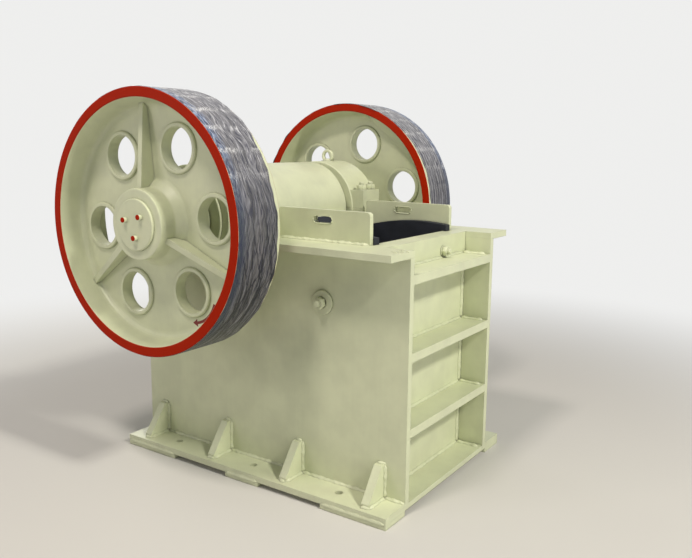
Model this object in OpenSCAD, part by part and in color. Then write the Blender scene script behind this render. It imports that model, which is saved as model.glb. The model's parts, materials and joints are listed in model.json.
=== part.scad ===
// Single toggle jaw crusher: a welded plate frame, a fixed and a swinging jaw plate,
// an eccentric shaft with a flywheel on one end and a grooved drive pulley on the other.
// X runs from the rear to the ribbed front wall, Y runs along the shaft, Z is up.
// The origin lies on the ground under the middle of the overall box.

/* [Frame] */
// Length of the side plates
frame_len = 1514; // [1450:1:1600]
// Width over the side plates
frame_w = 792; // [760:1:900]
// Height of the top flange above the ground
frame_h = 1100; // [1060:1:1160]
// Thickness of the side plates
side_t = 30; // [20:1:32]
// Reach of the top flange past the side plate
flange_out = 152; // [140:1:180]
// Thickness of the top flange
flange_t = 29; // [20:1:40]
// Reach of the base plate past the side plate
base_out = 153; // [140:1:180]
// Thickness of the base plate
base_t = 28; // [20:1:40]
// Thickness of the levelling pads under the base plate
pad_t = 22; // [12:1:30]

/* [Walls and ribs] */
// Depth of the ribs on the front and rear wall
rib_depth = 132; // [100:1:150]
// Thickness of the ribs
rib_t = 38; // [25:1:45]
// Thickness of the lowest rib
low_rib_t = 24; // [16:1:30]
// Distance from the top flange down to the upper rib
upper_rib_drop = 100; // [96:1:160]
// Distance from one rib to the next one down
rib_pitch = 318.5; // [280:0.5:340]
// Thickness of the front and rear wall
wall_t = 50; // [40:1:55]
// Width of the painted edge on top of the front wall, with the jaw stop
wall_top_w = 92; // [88:1:110]
// Height of the jaw stop behind the front wall
jaw_stop_h = 40; // [25:1:50]
// Distance from the top flange down to the bolts of the fixed jaw
jaw_bolt_drop = 69; // [55:1:70]
// Distance from the middle to the far bolt of the fixed jaw
jaw_bolt_far = 134; // [100:1:160]
// Distance from the middle to the near bolt of the fixed jaw
jaw_bolt_near = 206; // [150:1:230]

/* [Base gussets and bolts] */
// Thickness of a base gusset
gusset_t = 38; // [20:1:45]
// Height of a base gusset
gusset_h = 150; // [110:1:200]
// Reach of a base gusset along the base plate
gusset_out = 122; // [100:1:135]
// Height of the gusset toe
gusset_toe = 15; // [8:1:25]
// Flat top of a base gusset
gusset_flat = 26; // [15:1:40]
// Distance from one gusset to the next
gusset_pitch = 430; // [400:1:440]
// Distance from the front edge to the first gusset
gusset_start = 118; // [90:1:130]
// Distance from one foundation hole to the next along the frame
bolt_pitch = 480; // [440:1:500]
// Distance from the front edge to the first foundation hole
bolt_start = 282; // [250:1:300]
// Distance of the foundation holes from the side plate
bolt_off = 69; // [50:1:90]
// Diameter of the foundation holes
bolt_hole_d = 35; // [22:1:42]

/* [Feed opening] */
// Length of the hopper guard plates
guard_len = 475; // [400:1:520]
// Distance from the front edge to the guard plates
guard_start = 210; // [190:1:230]
// Height of the guard plates above the top flange
guard_h = 135; // [100:1:180]
// Thickness of the guard plates
guard_t = 25; // [16:1:28]
// Distance by which the far guard plate is lower
far_guard_drop = 13; // [0:1:20]
// Corner radius of the guard plates
guard_corner = 16; // [6:1:30]
// Length of the hand slot
slot_len = 100; // [80:1:130]
// Width of the hand slot
slot_w = 33; // [25:1:45]
// Height of the hand slot above the top flange
slot_lift = 92; // [70:1:95]
// Distance by which the far hand slot is further back
far_slot_back = 21; // [0:1:30]
// Distance by which the far hand slot is lower
far_slot_drop = 8; // [0:1:12]

/* [Jaws] */
// Height by which the swing jaw plate rises above the fixed one
swing_rise = 60; // [20:1:64]
// Gap between a jaw plate and a cheek liner
jaw_gap = 5; // [5:1:12]
// Thickness of the jaw plates without their teeth
jaw_t = 40; // [32:1:46]
// Height of the teeth
tooth_h = 20; // [12:1:26]
// Number of teeth across a jaw plate
teeth = 12; // [8:1:14]
// Height of the lower end of the jaw plates
jaw_low_z = 330; // [310:1:360]
// Angle between the jaw plates
nip = 22; // [20:0.5:23]
// Width of the discharge opening at the lower end
gap_low = 92; // [80:1:105]
// Thickness of the cheek liners
liner_t = 40; // [30:1:46]
// Radius of the arched top of the cheek liners
liner_arc_r = 1115; // [900:5:1400]
// Height of the arch above the top flange
liner_rise = 39; // [30:1:50]
// Distance from the front edge back to the cheek bolt
cheek_back = 422; // [380:1:460]
// Distance from the top flange down to the cheek bolt
cheek_drop = 255; // [230:1:280]
// Radius of the washer of the cheek bolt
cheek_washer_r = 53; // [40:1:60]

/* [Shaft and wheels] */
// Distance from the front edge back to the shaft
shaft_back = 1023; // [1000:1:1050]
// Height of the shaft above the top flange
shaft_lift = 73; // [65:1:85]
// Radius of the shaft in its bearings
shaft_r = 85; // [70:1:95]
// Offset of the eccentric middle of the shaft
throw = 10; // [6:1:14]
// Radius of both wheels
wheel_r = 555; // [520:1:580]
// Distance from a bearing housing out to the wheel
wheel_gap = 43; // [38:1:70]
// Width of the wheel rims
wheel_w = 246; // [220:1:280]
// Thickness of the rims at their faces
rim_t = 41; // [30:1:50]
// Thickness of the wheel web
web_t = 34; // [24:1:40]
// Radius of the circle of round holes in the web
hole_circle = 341; // [325:1:350]
// Radius of the round holes in the web
hole_r = 88; // [60:1:88]
// Number of round holes in the web
holes = 6; // [3:1:6]
// Radius of the wheel hub
hub_r = 148; // [130:1:165]
// Width of the cone where the hub meets the web
cone_w = 36; // [20:1:44]
// Number of V grooves on the drive pulley
grooves = 8; // [4:1:9]
// Distance from one groove to the next
groove_pitch = 25.5; // [22:0.5:27]
// Thickness of the film wrapped round the rims
film_t = 2; // [1:0.5:3]

/* [Bearings] */
// Radius of the bearing housings
housing_r = 240; // [225:1:250]
// Distance by which a housing stands inside the side plate
housing_step = 5; // [2:1:8]
// Width of a bearing housing
housing_w = 217; // [190:1:230]
// Distance from the shaft to the end of a housing foot
foot_out = 305; // [298:1:330]
// Width of a housing foot
foot_w = 153; // [140:1:165]
// Height of the foot of the bearing cap
cap_foot_h = 95; // [70:1:110]
// Radius of the ring of a lifting eye
eye_r = 36; // [32:1:50]
// Radius of the hole in a lifting eye
eye_hole_r = 20.5; // [12:0.5:22]

/* [Swing jaw and toggle] */
// Radius of the barrel of the swing jaw
barrel_r = 237; // [225:1:245]
// Gap between the barrel and a side plate
barrel_gap = 60; // [52:1:75]
// Length of the toggle plate between its rounded edges
toggle_len = 420; // [380:1:450]
// Slope of the toggle plate
toggle_tilt = 11; // [5:0.5:15]
// Radius of the rounded edges of the toggle plate
toggle_r = 20; // [15:1:24]
// Radius of the tension rods
rod_r = 16; // [12:1:17]
// Radius of the wire of the tension springs
wire_r = 7; // [5:0.5:8]

/* [Hidden] */

paint = [0.84, 0.87, 0.74];
red = [0.75, 0.16, 0.08];
black = [0.10, 0.11, 0.13];
steel = [0.62, 0.63, 0.62];
film_grey = [0.47, 0.48, 0.53];

fine = 96;
seat = 0.2;
running = 0.05;
bolt_gap = 1;
ease = 4;

// Places along the frame
front_x = (shaft_back + wheel_r + film_t) / 2;
rear_x = front_x - frame_len;
shaft_x = front_x - shaft_back;
side_out = frame_w / 2;
side_in = side_out - side_t;
base_top = pad_t + base_t;
flange_low = frame_h - flange_t;
upper_rib_z = frame_h - upper_rib_drop;
shaft_z = frame_h + shaft_lift;
wall_out_x = front_x - rib_depth;
wall_in_x = wall_out_x - wall_t;
rear_wall_x = rear_x + rib_depth;
guard_in = side_in - guard_t;
liner_in = guard_in - liner_t;
guard_rear_x = front_x - guard_start - guard_len;
guard_front_x = front_x - guard_start;
stop_x = wall_out_x - wall_top_w;
pad_inset = 60;
guard_sink = 55;
gusset_nose = 12;

// Foundation holes and pads
bolt_y = side_out + bolt_off;
pad_len_end = 322;
pad_len_mid = 194;

// Jaw places
jaw_w = 2 * (liner_in - jaw_gap);
plate_t = jaw_t + tooth_h;
fixed_tip_x = wall_in_x - plate_t;
jaw_top_z = frame_h - jaw_stop_h;
tip_x = fixed_tip_x - gap_low;
swing_len = (jaw_top_z + swing_rise - jaw_low_z) / cos(nip);
liner_step = 30;
liner_set_back = 8;
liner_reach = 5;
jaw_bolt_y = [-jaw_bolt_near, jaw_bolt_far];
jaw_bolt_z = frame_h - jaw_bolt_drop;
jaw_bolt_r = 13;
head_t = 1.2 * jaw_bolt_r;

// Cheek bolt
cheek_x = front_x - cheek_back;
cheek_z = frame_h - cheek_drop;
cheek_bolt_r = 15;
cheek_washer_t = 12;
cheek_head_t = liner_t / 2;

// Swing jaw, measured from the lower tip of its plate: first towards the chamber, then up the plate
barrel_half = side_in - barrel_gap;
slab_t = 45;
barrel_reach = 26;
pitman_half = barrel_half - barrel_reach;
slab_back = -plate_t - slab_t;
bar_dx = shaft_x - tip_x;
bar_dz = shaft_z - jaw_low_z;
bar_u = bar_dx * cos(nip) + bar_dz * sin(nip);
bar_v = bar_dz * cos(nip) - bar_dx * sin(nip);
slab_drop = 110;
slab_top_v = bar_v - slab_drop;
web_sink = 12;
web_t_jaw = 30;
seat_lip = 10;
toe_depth = 110;
toe_u = slab_back - toe_depth;
toe_low_v = -15;
toe_high_v = 125;
toggle_v = 60;
bore_gap = 40;
barrel_bore_r = shaft_r + throw + bore_gap;
cover_gap = 11;
cover_step = 28;
cover_r = barrel_r - cover_step;
clamp_h = 1.1 * plate_t;

// Toggle seats
seat_u = toe_u - seat_lip;
front_seat_x = tip_x + seat_u * cos(nip) - toggle_v * sin(nip);
front_seat_z = jaw_low_z + seat_u * sin(nip) + toggle_v * cos(nip);
rear_seat_x = front_seat_x - toggle_len * cos(toggle_tilt);
rear_seat_z = front_seat_z + toggle_len * sin(toggle_tilt);
block_h = 180;
block_len = 140;
block_gap = 12;
block_half = side_in - block_gap;
guide_w = 55;
guide_t = 30;
toggle_inset = 12;
shim_t = 14;
shims = 4;
shim_x = rear_seat_x - block_len;
thrust_x = shim_x - shims * shim_t;
thrust_t = 32;

// Tension rods
rod_y = 160;
rod_back = 30;
rod_u = toe_u + rod_back;
rod_v = -48;
rod_x = tip_x + rod_u * cos(nip) - rod_v * sin(nip);
rod_z = jaw_low_z + rod_u * sin(nip) + rod_v * cos(nip);
rod_drop = 4.4;
rod_reach = 42;
rod_len = (rod_x - rear_x) / cos(rod_drop) + rod_reach;
rod_end = 40;
rod_nut_h = 22;
collar_t = 10;
collar_w = 12;
spring_seat = 30;
wall_along = (rod_x - rear_wall_x) / cos(rod_drop);
spring_r = 38;
spring_len = rod_len - wall_along - rod_end - spring_seat;
spring_turns = 6;
spring_pitch = (spring_len - 2 * wire_r - 1) / spring_turns;
seat_ring_t = 14;
seat_ring_w = 16;
ear_t = 16;
eye_w = 36;
pin_r = 12;
pin_reach = 6;
pin_len = eye_w + 2 * (ear_t + pin_reach);

// Wheels
rim_in_r = wheel_r - rim_t;
rim_swell = 19;
rim_root_r = rim_in_r - rim_swell;
housing_in = side_in - housing_step;
housing_out = housing_in + housing_w;
wheel_in = housing_out + wheel_gap;
wheel_out = wheel_in + wheel_w;
web_mid = wheel_in + wheel_w / 2;
web_low = web_mid - web_t / 2;
web_high = web_mid + web_t / 2;
boss_t = 55;
segment_t = 34;
segment_depth = 45;
boss_w = 17;
boss_r = hole_r + boss_w;
hub_gap = 21;
hub_in = housing_out + hub_gap;
hub_reach = 5;
hub_out = wheel_out + hub_reach;
hub_draft = 12;
groove_depth = 19;
spoke_t = 26;
spoke_low = 22;
spoke_high = 70;
spoke_root = 78;
cap_r = 108;
cap_t = 12;
cap_bolt_r = 11;
cap_bolt_circle = cap_r / 2;
film_in_edge = 16;
film_out_edge = 2;

// Bearing housings
housing_mid = (housing_in + housing_out) / 2;
foot_in = housing_in + ease;
stud_inset = 38;
stud_x = foot_out - stud_inset;
stud_r = 14;
stud_edge_in = 39;
stud_edge_out = 29;
stud_near = foot_in + stud_edge_in;
stud_far = foot_in + foot_w - stud_edge_out;
stud_low = frame_h + 20;
spigot_step = 20;
eye_sink = 30;
cover_plate_t = 12;
cover_rim_w = 38;
journal_inset = 46;
cover_t = housing_in - cover_plate_t - cover_gap - barrel_half;

// Moves a shape drawn on the outer side of a wheel to the near or the far end of the shaft
module outboard(side) {
  translate([shaft_x, 0, shaft_z])
    if (side < 0) rotate([90, 0, 0]) children();
    else mirror([0, 1, 0]) rotate([90, 0, 0]) children();
}

// A disc about the shaft between two distances from the middle
module shaft_disc(side, r, from, to) {
  outboard(side) translate([0, 0, from]) cylinder(r = r, h = to - from, $fn = fine);
}

// A disc about the shaft with eased rims
module eased_disc(side, r, from, to) {
  outboard(side) translate([0, 0, from]) {
    cylinder(r1 = r - ease, r2 = r, h = ease, $fn = fine);
    translate([0, 0, ease]) cylinder(r = r, h = to - from - 2 * ease, $fn = fine);
    translate([0, 0, to - from - ease]) cylinder(r1 = r, r2 = r - ease, h = ease, $fn = fine);
  }
}

// A plate that lies across the shaft direction, between two distances on one side
module side_block(side, x0, x1, y0, y1, z0, z1) {
  translate([x0, side < 0 ? -y1 : y0, z0]) cube([x1 - x0, y1 - y0, z1 - z0]);
}

// An outline in X and Z, made solid between two distances on one side
module side_shape(side, y0, y1) {
  translate([0, side < 0 ? -y0 : y1, 0]) rotate([90, 0, 0]) linear_extrude(y1 - y0) children();
}

// The frame of the swing jaw plate: origin at its lower tip, Z up the plate
module on_swing_jaw() {
  translate([tip_x, 0, jaw_low_z]) rotate([0, -nip, 0]) children();
}

// The frame of a tension rod: origin at its pin, Z back along the rod
module on_rod(y) {
  translate([rod_x, y, rod_z]) rotate([0, -90 - rod_drop, 0]) children();
}

// A hexagon nut for a bolt of radius r
module nut_for(r) cylinder(r = 1.8 * r, h = 1.6 * r, $fn = 6);

function nut_h(r) = 1.6 * r;

// A corner at b between a and c, rounded by a curve that starts at distance f on both sides
function toward(p, q, d) = p + (q - p) * d / norm(q - p);
function blend(a, b, c, f, n = 4) = let (s = toward(b, a, f), e = toward(b, c, f))
  [for (i = [0:n]) let (t = i / n) (1 - t) * (1 - t) * s + 2 * t * (1 - t) * b + t * t * e];

module side_plate(side) {
  color(paint) difference() {
    union() {
      side_block(side, rear_x, front_x, side_in, side_out, base_top, flange_low);
      // Seat pad behind the cheek liner
      side_block(side, guard_rear_x, stop_x, guard_in, side_in, jaw_low_z + pad_inset,
        flange_low - pad_inset);
    }
    shaft_disc(side, housing_r + seat, side_in - 60, side_out + 60);
    side_shape(side, guard_in - 5, side_out + 5)
      translate([cheek_x, cheek_z]) circle(r = cheek_bolt_r + bolt_gap, $fn = 48);
  }
}

module top_flange(side) {
  color(paint) difference() {
    side_block(side, rear_x, front_x, side_in, side_out + flange_out, flange_low, frame_h);
    shaft_disc(side, housing_r + seat, side_in - 60, side_out + flange_out + 10);
  }
}

module foundation_holes(side, z0, z1) {
  for (i = [0:2])
    translate([front_x - bolt_start - i * bolt_pitch, side * bolt_y, z0])
      cylinder(d = bolt_hole_d, h = z1 - z0, $fn = 48);
}

module base_plate(side) {
  color(paint) difference() {
    side_block(side, rear_x, front_x, side_in, side_out + base_out, pad_t, base_top);
    foundation_holes(side, pad_t - 1, base_top + 1);
  }
}

module levelling_pads() {
  color(paint) for (side = [-1, 1]) difference() {
    union() {
      side_block(side, front_x - pad_len_end, front_x, side_out, side_out + base_out, 0, pad_t);
      side_block(side, rear_x, rear_x + pad_len_end, side_out, side_out + base_out, 0, pad_t);
      translate([front_x - bolt_start - bolt_pitch, 0, 0])
        side_block(side, -pad_len_mid / 2, pad_len_mid / 2, side_out, side_out + base_out, 0, pad_t);
    }
    foundation_holes(side, -1, pad_t + 1);
  }
}

module gusset(side, x) {
  translate([x - gusset_t / 2, side * side_out, base_top])
    mirror([0, side < 0 ? 1 : 0, 0])
      rotate([90, 0, 90]) linear_extrude(gusset_t)
        polygon([[0, gusset_nose], [gusset_nose, 0], [gusset_out, 0], [gusset_out, gusset_toe],
          [gusset_flat, gusset_h], [0, gusset_h]]);
}

module base_gussets() {
  color(paint) for (side = [-1, 1], i = [0:3])
    gusset(side, front_x - gusset_start - i * gusset_pitch);
}

module front_wall() {
  color(paint) difference() {
    translate([0, side_in, 0]) rotate([90, 0, 0]) linear_extrude(2 * side_in)
      polygon([[wall_out_x, pad_t], [wall_out_x, frame_h], [stop_x, frame_h],
        [stop_x, jaw_top_z], [wall_in_x, jaw_top_z], [wall_in_x, pad_t]]);
    for (y = jaw_bolt_y)
      translate([wall_in_x - 1, y, jaw_bolt_z]) rotate([0, 90, 0])
        cylinder(r = jaw_bolt_r + bolt_gap, h = wall_t + 2, $fn = 48);
  }
}

// The stack of cross ribs on a wall, from its outer face
module wall_ribs(x0, x1, low) {
  translate([x0, -side_in, low]) cube([x1 - x0, 2 * side_in, low_rib_t]);
  for (i = [0:2])
    translate([x0, -side_in, upper_rib_z - i * rib_pitch - rib_t])
      cube([x1 - x0, 2 * side_in, rib_t]);
}

module front_ribs() color(paint) wall_ribs(wall_out_x, front_x, pad_t);

module rear_ribs() color(paint) wall_ribs(rear_x, rear_wall_x, pad_t);

module rear_wall() {
  color(paint) difference() {
    union() {
      translate([rear_wall_x, -side_in, pad_t]) cube([wall_t, 2 * side_in, upper_rib_z - pad_t]);
      for (side = [-1, 1]) on_rod(side * rod_y) translate([0, 0, wall_along - 20])
        cylinder(r = spring_r + seat_ring_w, h = seat_ring_t + 20, $fn = fine);
    }
    for (side = [-1, 1]) on_rod(side * rod_y)
      translate([0, 0, wall_along - 80]) cylinder(r = rod_r + 13, h = 120, $fn = 48);
  }
}

module hopper_plate(side) {
  low = flange_low - guard_sink;
  top = frame_h + guard_h - (side > 0 ? far_guard_drop : 0);
  slot_x = (guard_rear_x + guard_front_x) / 2 - (side > 0 ? far_slot_back : 0);
  slot_z = frame_h + slot_lift - (side > 0 ? far_slot_drop : 0);
  color(paint) side_shape(side, guard_in, side_in) difference() {
    union() {
      translate([guard_rear_x, low]) square([guard_len, top - low - guard_corner]);
      translate([guard_rear_x + guard_corner, low]) square([guard_len - 2 * guard_corner, top - low]);
      for (x = [guard_rear_x + guard_corner, guard_front_x - guard_corner])
        translate([x, top - guard_corner]) circle(r = guard_corner, $fn = 48);
    }
    // The front end stands on the front wall
    translate([stop_x, low - 1]) square([guard_front_x - stop_x + 1, frame_h - low + 1]);
    hand_slot(slot_x, slot_z);
  }
}

module hand_slot(x, z) {
  run = slot_len / 2 - slot_w / 2;
  translate([x - run, z - slot_w / 2]) square([2 * run, slot_w]);
  for (s = [-1, 1]) translate([x + s * run, z]) circle(d = slot_w, $fn = 48);
}

module cheek_liner(side) {
  low = jaw_low_z + liner_step;
  peak = frame_h + liner_rise;
  rear = guard_rear_x + liner_set_back;
  front = guard_front_x + liner_reach;
  color(black) difference() {
    intersection() {
      side_shape(side, liner_in, guard_in)
        polygon([[stop_x, low], [stop_x, frame_h], [front, frame_h], [front, peak],
          [rear, peak], [rear, frame_h - guard_h * 2], [tip_x - 2 * plate_t, low]]);
      side_shape(side, liner_in - 1, guard_in + 1)
        translate([stop_x - guard_h, peak - liner_arc_r]) circle(r = liner_arc_r, $fn = 360);
    }
    side_shape(side, liner_in - 1, guard_in + 1)
      translate([cheek_x, cheek_z]) circle(r = cheek_bolt_r + bolt_gap, $fn = 48);
    side_shape(side, liner_in - 1, liner_in + cheek_head_t)
      translate([cheek_x, cheek_z]) circle(r = 2 * cheek_bolt_r + bolt_gap, $fn = 48);
  }
}

module cheek_bolts() {
  nut_y = side_out + cheek_washer_t;
  color(steel) for (side = [-1, 1]) {
    side_shape(side, liner_in + 4, nut_y + 2.6 * cheek_bolt_r)
      translate([cheek_x, cheek_z]) circle(r = cheek_bolt_r, $fn = 48);
    side_shape(side, liner_in + 4, liner_in + cheek_head_t)
      translate([cheek_x, cheek_z]) circle(r = 2 * cheek_bolt_r, $fn = 48);
    side_shape(side, side_out, nut_y)
      translate([cheek_x, cheek_z]) circle(r = cheek_washer_r, $fn = fine);
    side_shape(side, nut_y, nut_y + nut_h(cheek_bolt_r))
      translate([cheek_x, cheek_z]) circle(r = 1.8 * cheek_bolt_r, $fn = 6);
  }
}

// Outline of a toothed jaw plate: its back lies on the Y axis, its teeth point to +X
function jaw_outline(w, n) = let (p = w / n) concat([[0, -w / 2]],
  [for (i = [0:n - 1], k = [0:2]) let (y = -w / 2 + i * p)
    k == 0 ? [jaw_t, y] : [plate_t, y + (k == 1 ? 0.32 : 0.68) * p]],
  [[jaw_t, w / 2], [0, w / 2]]);

module fixed_jaw_plate() {
  color(black) difference() {
    translate([wall_in_x, 0, jaw_low_z]) mirror([1, 0, 0])
      linear_extrude(jaw_top_z - jaw_low_z) polygon(jaw_outline(jaw_w, teeth));
    for (y = jaw_bolt_y) translate([wall_in_x, y, jaw_bolt_z]) rotate([0, -90, 0]) {
      translate([0, 0, -1]) cylinder(r = jaw_bolt_r + bolt_gap, h = plate_t + 2, $fn = 48);
      translate([0, 0, jaw_t / 2]) cylinder(r = 2 * jaw_bolt_r + bolt_gap, h = plate_t, $fn = 48);
    }
  }
}

module jaw_bolts() {
  washer_t = 5;
  color(steel) for (y = jaw_bolt_y) translate([wall_in_x, y, jaw_bolt_z]) rotate([0, 90, 0]) {
    translate([0, 0, -jaw_t / 2 - head_t]) cylinder(r = 2 * jaw_bolt_r, h = head_t, $fn = 48);
    translate([0, 0, -jaw_t / 2 - head_t])
      cylinder(r = jaw_bolt_r, h = jaw_t / 2 + head_t + wall_t + washer_t + 2.8 * jaw_bolt_r, $fn = 48);
    translate([0, 0, wall_t]) cylinder(r = 2 * jaw_bolt_r, h = washer_t, $fn = 48);
    translate([0, 0, wall_t + washer_t]) nut_for(jaw_bolt_r);
  }
}

module thrust_seat() {
  back_x = rear_wall_x + wall_t;
  color(paint) {
    translate([thrust_x - thrust_t, -block_half, rear_seat_z - block_h / 2])
      cube([thrust_t, 2 * block_half, block_h]);
    for (y = [-1.5, -0.5, 0.5, 1.5])
      translate([back_x, (y * block_half - thrust_t) / 2, rear_seat_z - block_h / 2])
        cube([thrust_x - thrust_t - back_x, thrust_t, block_h]);
  }
}

module adjusting_shims() {
  color(steel) for (i = [0:shims - 1])
    translate([shim_x - (i + 1) * shim_t, -0.94 * block_half, rear_seat_z - block_h / 2])
      cube([shim_t - 0.3, 1.88 * block_half, block_h + (i % 2) * 1.5 * shim_t]);
}

module adjusting_block() {
  color(steel) difference() {
    translate([shim_x, -block_half, rear_seat_z - block_h / 2]) cube([block_len, 2 * block_half, block_h]);
    translate([rear_seat_x, block_half + 1, rear_seat_z]) rotate([90, 0, 0])
      cylinder(r = toggle_r + 0.3, h = 2 * block_half + 2, $fn = fine);
  }
}

module block_guides() {
  color(paint) for (side = [-1, 1])
    side_block(side, rear_wall_x + wall_t, rear_seat_x, block_half - guide_w, side_in,
      rear_seat_z - block_h / 2 - guide_t, rear_seat_z - block_h / 2);
}

module toggle_plate() {
  half = pitman_half - toggle_inset;
  thin = 0.8 * toggle_r;
  color(steel) translate([rear_seat_x, half, rear_seat_z]) rotate([90, toggle_tilt, 0]) {
    for (x = [0, toggle_len]) translate([x, 0, 0]) cylinder(r = toggle_r, h = 2 * half, $fn = fine);
    linear_extrude(2 * half) polygon([[0, -thin], [toggle_len, -thin], [toggle_len, thin], [0, thin]]);
  }
}

// One half of a bearing housing with its two feet
module housing_half(side, foot_low, foot_high, up) {
  intersection() {
    eased_disc(side, housing_r, housing_in, housing_out);
    side_block(side, shaft_x - foot_out, shaft_x + foot_out, housing_in - 1, housing_out + 1,
      up ? shaft_z : shaft_z - housing_r, up ? shaft_z + housing_r : shaft_z);
  }
  difference() {
    side_block(side, shaft_x - foot_out, shaft_x + foot_out, foot_in, foot_in + foot_w, foot_low, foot_high);
    shaft_disc(side, housing_r - spigot_step, housing_in - 5, housing_out);
  }
}

module stud_holes(side, z0, z1, r) {
  for (x = [-stud_x, stud_x], y = [stud_near, stud_far])
    translate([shaft_x + x, side * y, z0]) cylinder(r = r, h = z1 - z0, $fn = 48);
}

module bearing_seat(side) {
  color(paint) difference() {
    housing_half(side, frame_h, shaft_z, false);
    shaft_disc(side, shaft_r + running, housing_in - 1, housing_out + 1);
    stud_holes(side, stud_low, shaft_z + 1, stud_r + seat);
  }
}

module bearing_cap(side) {
  color(paint) difference() {
    union() {
      housing_half(side, shaft_z, shaft_z + cap_foot_h, true);
      translate([shaft_x, side * housing_mid, shaft_z + housing_r - eye_sink])
        cylinder(r = eye_r, h = eye_sink + 2, $fn = 48);
    }
    shaft_disc(side, shaft_r + running, housing_in - 1, housing_out + 1);
    stud_holes(side, shaft_z - 1, shaft_z + cap_foot_h + 1, stud_r + bolt_gap);
  }
}

module bearing_studs() {
  nut_z = shaft_z + cap_foot_h;
  washer_t = 5;
  color(paint) for (side = [-1, 1]) {
    stud_holes(side, stud_low, nut_z + washer_t + nut_h(stud_r) + stud_r, stud_r);
    stud_holes(side, nut_z, nut_z + washer_t, 1.9 * stud_r);
    for (x = [-stud_x, stud_x], y = [stud_near, stud_far])
      translate([shaft_x + x, side * y, nut_z + washer_t]) nut_for(stud_r);
  }
}

module bearing_covers() {
  color(paint) for (side = [-1, 1], end = [0, 1])
    difference() {
      eased_disc(side, housing_r - cover_rim_w, end == 0 ? housing_in - cover_plate_t : housing_out,
        end == 0 ? housing_in : housing_out + cover_plate_t);
      shaft_disc(side, shaft_r + running, housing_in - 40, housing_out + 40);
    }
}

module lifting_eyes() {
  foot_z = shaft_z + housing_r + 2;
  ring_z = 0.7 * eye_r;
  ring_t = eye_r / 2;
  foot_h = ring_z - eye_hole_r - 1;
  color(paint) for (side = [-1, 1])
    translate([shaft_x, side * housing_mid, foot_z]) {
      difference() {
        union() {
          cylinder(r1 = 0.95 * eye_r, r2 = 0.85 * eye_r, h = foot_h, $fn = 48);
          translate([0, ring_t / 2, ring_z]) rotate([90, 0, 0]) cylinder(r = eye_r, h = ring_t, $fn = fine);
        }
        translate([0, eye_r, ring_z]) rotate([90, 0, 0]) cylinder(r = eye_hole_r, h = 2 * eye_r, $fn = 48);
        translate([-2 * eye_r, -eye_r, -2 * eye_r]) cube([4 * eye_r, 2 * eye_r, 2 * eye_r]);
      }
    }
}

// The round barrel of the swing jaw, solid
module barrel() {
  eased_disc(-1, barrel_r, -barrel_half, barrel_half);
}

module pitman_barrel() {
  color(paint) difference() {
    barrel();
    shaft_disc(-1, barrel_bore_r, -barrel_half - 1, barrel_half + 1);
  }
}

// The wall that joins the back of the swing jaw to its barrel, over the full width
module jaw_bridge() {
  on_swing_jaw() translate([0, pitman_half, 0]) rotate([90, 0, 0]) linear_extrude(2 * pitman_half)
    polygon([[slab_back, slab_top_v - slab_t], [slab_back, slab_top_v], [bar_u, slab_top_v],
      [bar_u, slab_top_v - slab_t]]);
}

// One web of the swing jaw casting, in the frame of its plate
module pitman_web(y, t) {
  translate([0, y + t / 2, 0]) rotate([90, 0, 0]) linear_extrude(t)
    polygon([[slab_back, toe_high_v], [slab_back, slab_top_v], [bar_u, bar_v],
      [bar_u - (barrel_r - web_sink) * cos(20), bar_v - barrel_r * sin(20)], [toe_u, toe_high_v]]);
}

module pitman_webs() {
  color(paint) difference() {
    on_swing_jaw() for (y = [-1.5, -0.5, 0.5, 1.5])
      pitman_web(y * (2 * pitman_half - web_t_jaw) / 3, web_t_jaw);
    shaft_disc(-1, barrel_r, -barrel_half, barrel_half);
    jaw_bridge();
  }
}

module pitman() {
  color(paint) difference() {
    union() {
      on_swing_jaw() {
        translate([slab_back, -pitman_half, toe_low_v])
          cube([slab_t, 2 * pitman_half, slab_top_v - toe_low_v]);
        translate([toe_u, -pitman_half, toe_low_v])
          cube([slab_back - toe_u, 2 * pitman_half, toe_high_v - toe_low_v]);
      }
      jaw_bridge();
      for (y = [-rod_y, rod_y], s = [-1, 1]) rod_ear(y + s * (eye_w / 2 + ear_t / 2 + 1));
    }
    shaft_disc(-1, barrel_r, -barrel_half - 1, barrel_half + 1);
    translate([front_seat_x, pitman_half + 1, front_seat_z]) rotate([90, 0, 0])
      cylinder(r = toggle_r + 0.3, h = 2 * pitman_half + 2, $fn = fine);
    for (y = [-rod_y, rod_y]) translate([rod_x, y + pin_len, rod_z]) rotate([90, 0, 0])
      cylinder(r = pin_r + seat, h = 2 * pin_len, $fn = 48);
  }
}

// An ear under the swing jaw that holds a tension rod
module rod_ear(y) {
  ear_r = 2.3 * pin_r;
  on_swing_jaw() translate([0, y + ear_t / 2, 0]) rotate([90, 0, 0]) linear_extrude(ear_t) union() {
    translate([rod_u, rod_v]) circle(r = ear_r, $fn = 48);
    translate([rod_u - ear_r, rod_v]) square([2 * ear_r, toe_low_v - rod_v + 5]);
  }
}

module pitman_covers() {
  color(paint) for (side = [-1, 1]) difference() {
    shaft_disc(side, cover_r, barrel_half, barrel_half + cover_t);
    shaft_disc(side, shaft_r + running, barrel_half - 1, barrel_half + cover_t + 1);
  }
}

module swing_jaw_plate() {
  color(black) on_swing_jaw() translate([-plate_t, 0, 0])
    linear_extrude(swing_len) polygon(jaw_outline(jaw_w, teeth));
}

module swing_jaw_clamp() {
  color(black) on_swing_jaw() translate([-plate_t, pitman_half, swing_len]) rotate([90, 0, 0])
    linear_extrude(2 * pitman_half)
      polygon([[0, 0], [jaw_t + tooth_h / 3, 0], [0.8 * jaw_t, 0.88 * clamp_h], [0, clamp_h]]);
}

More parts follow.
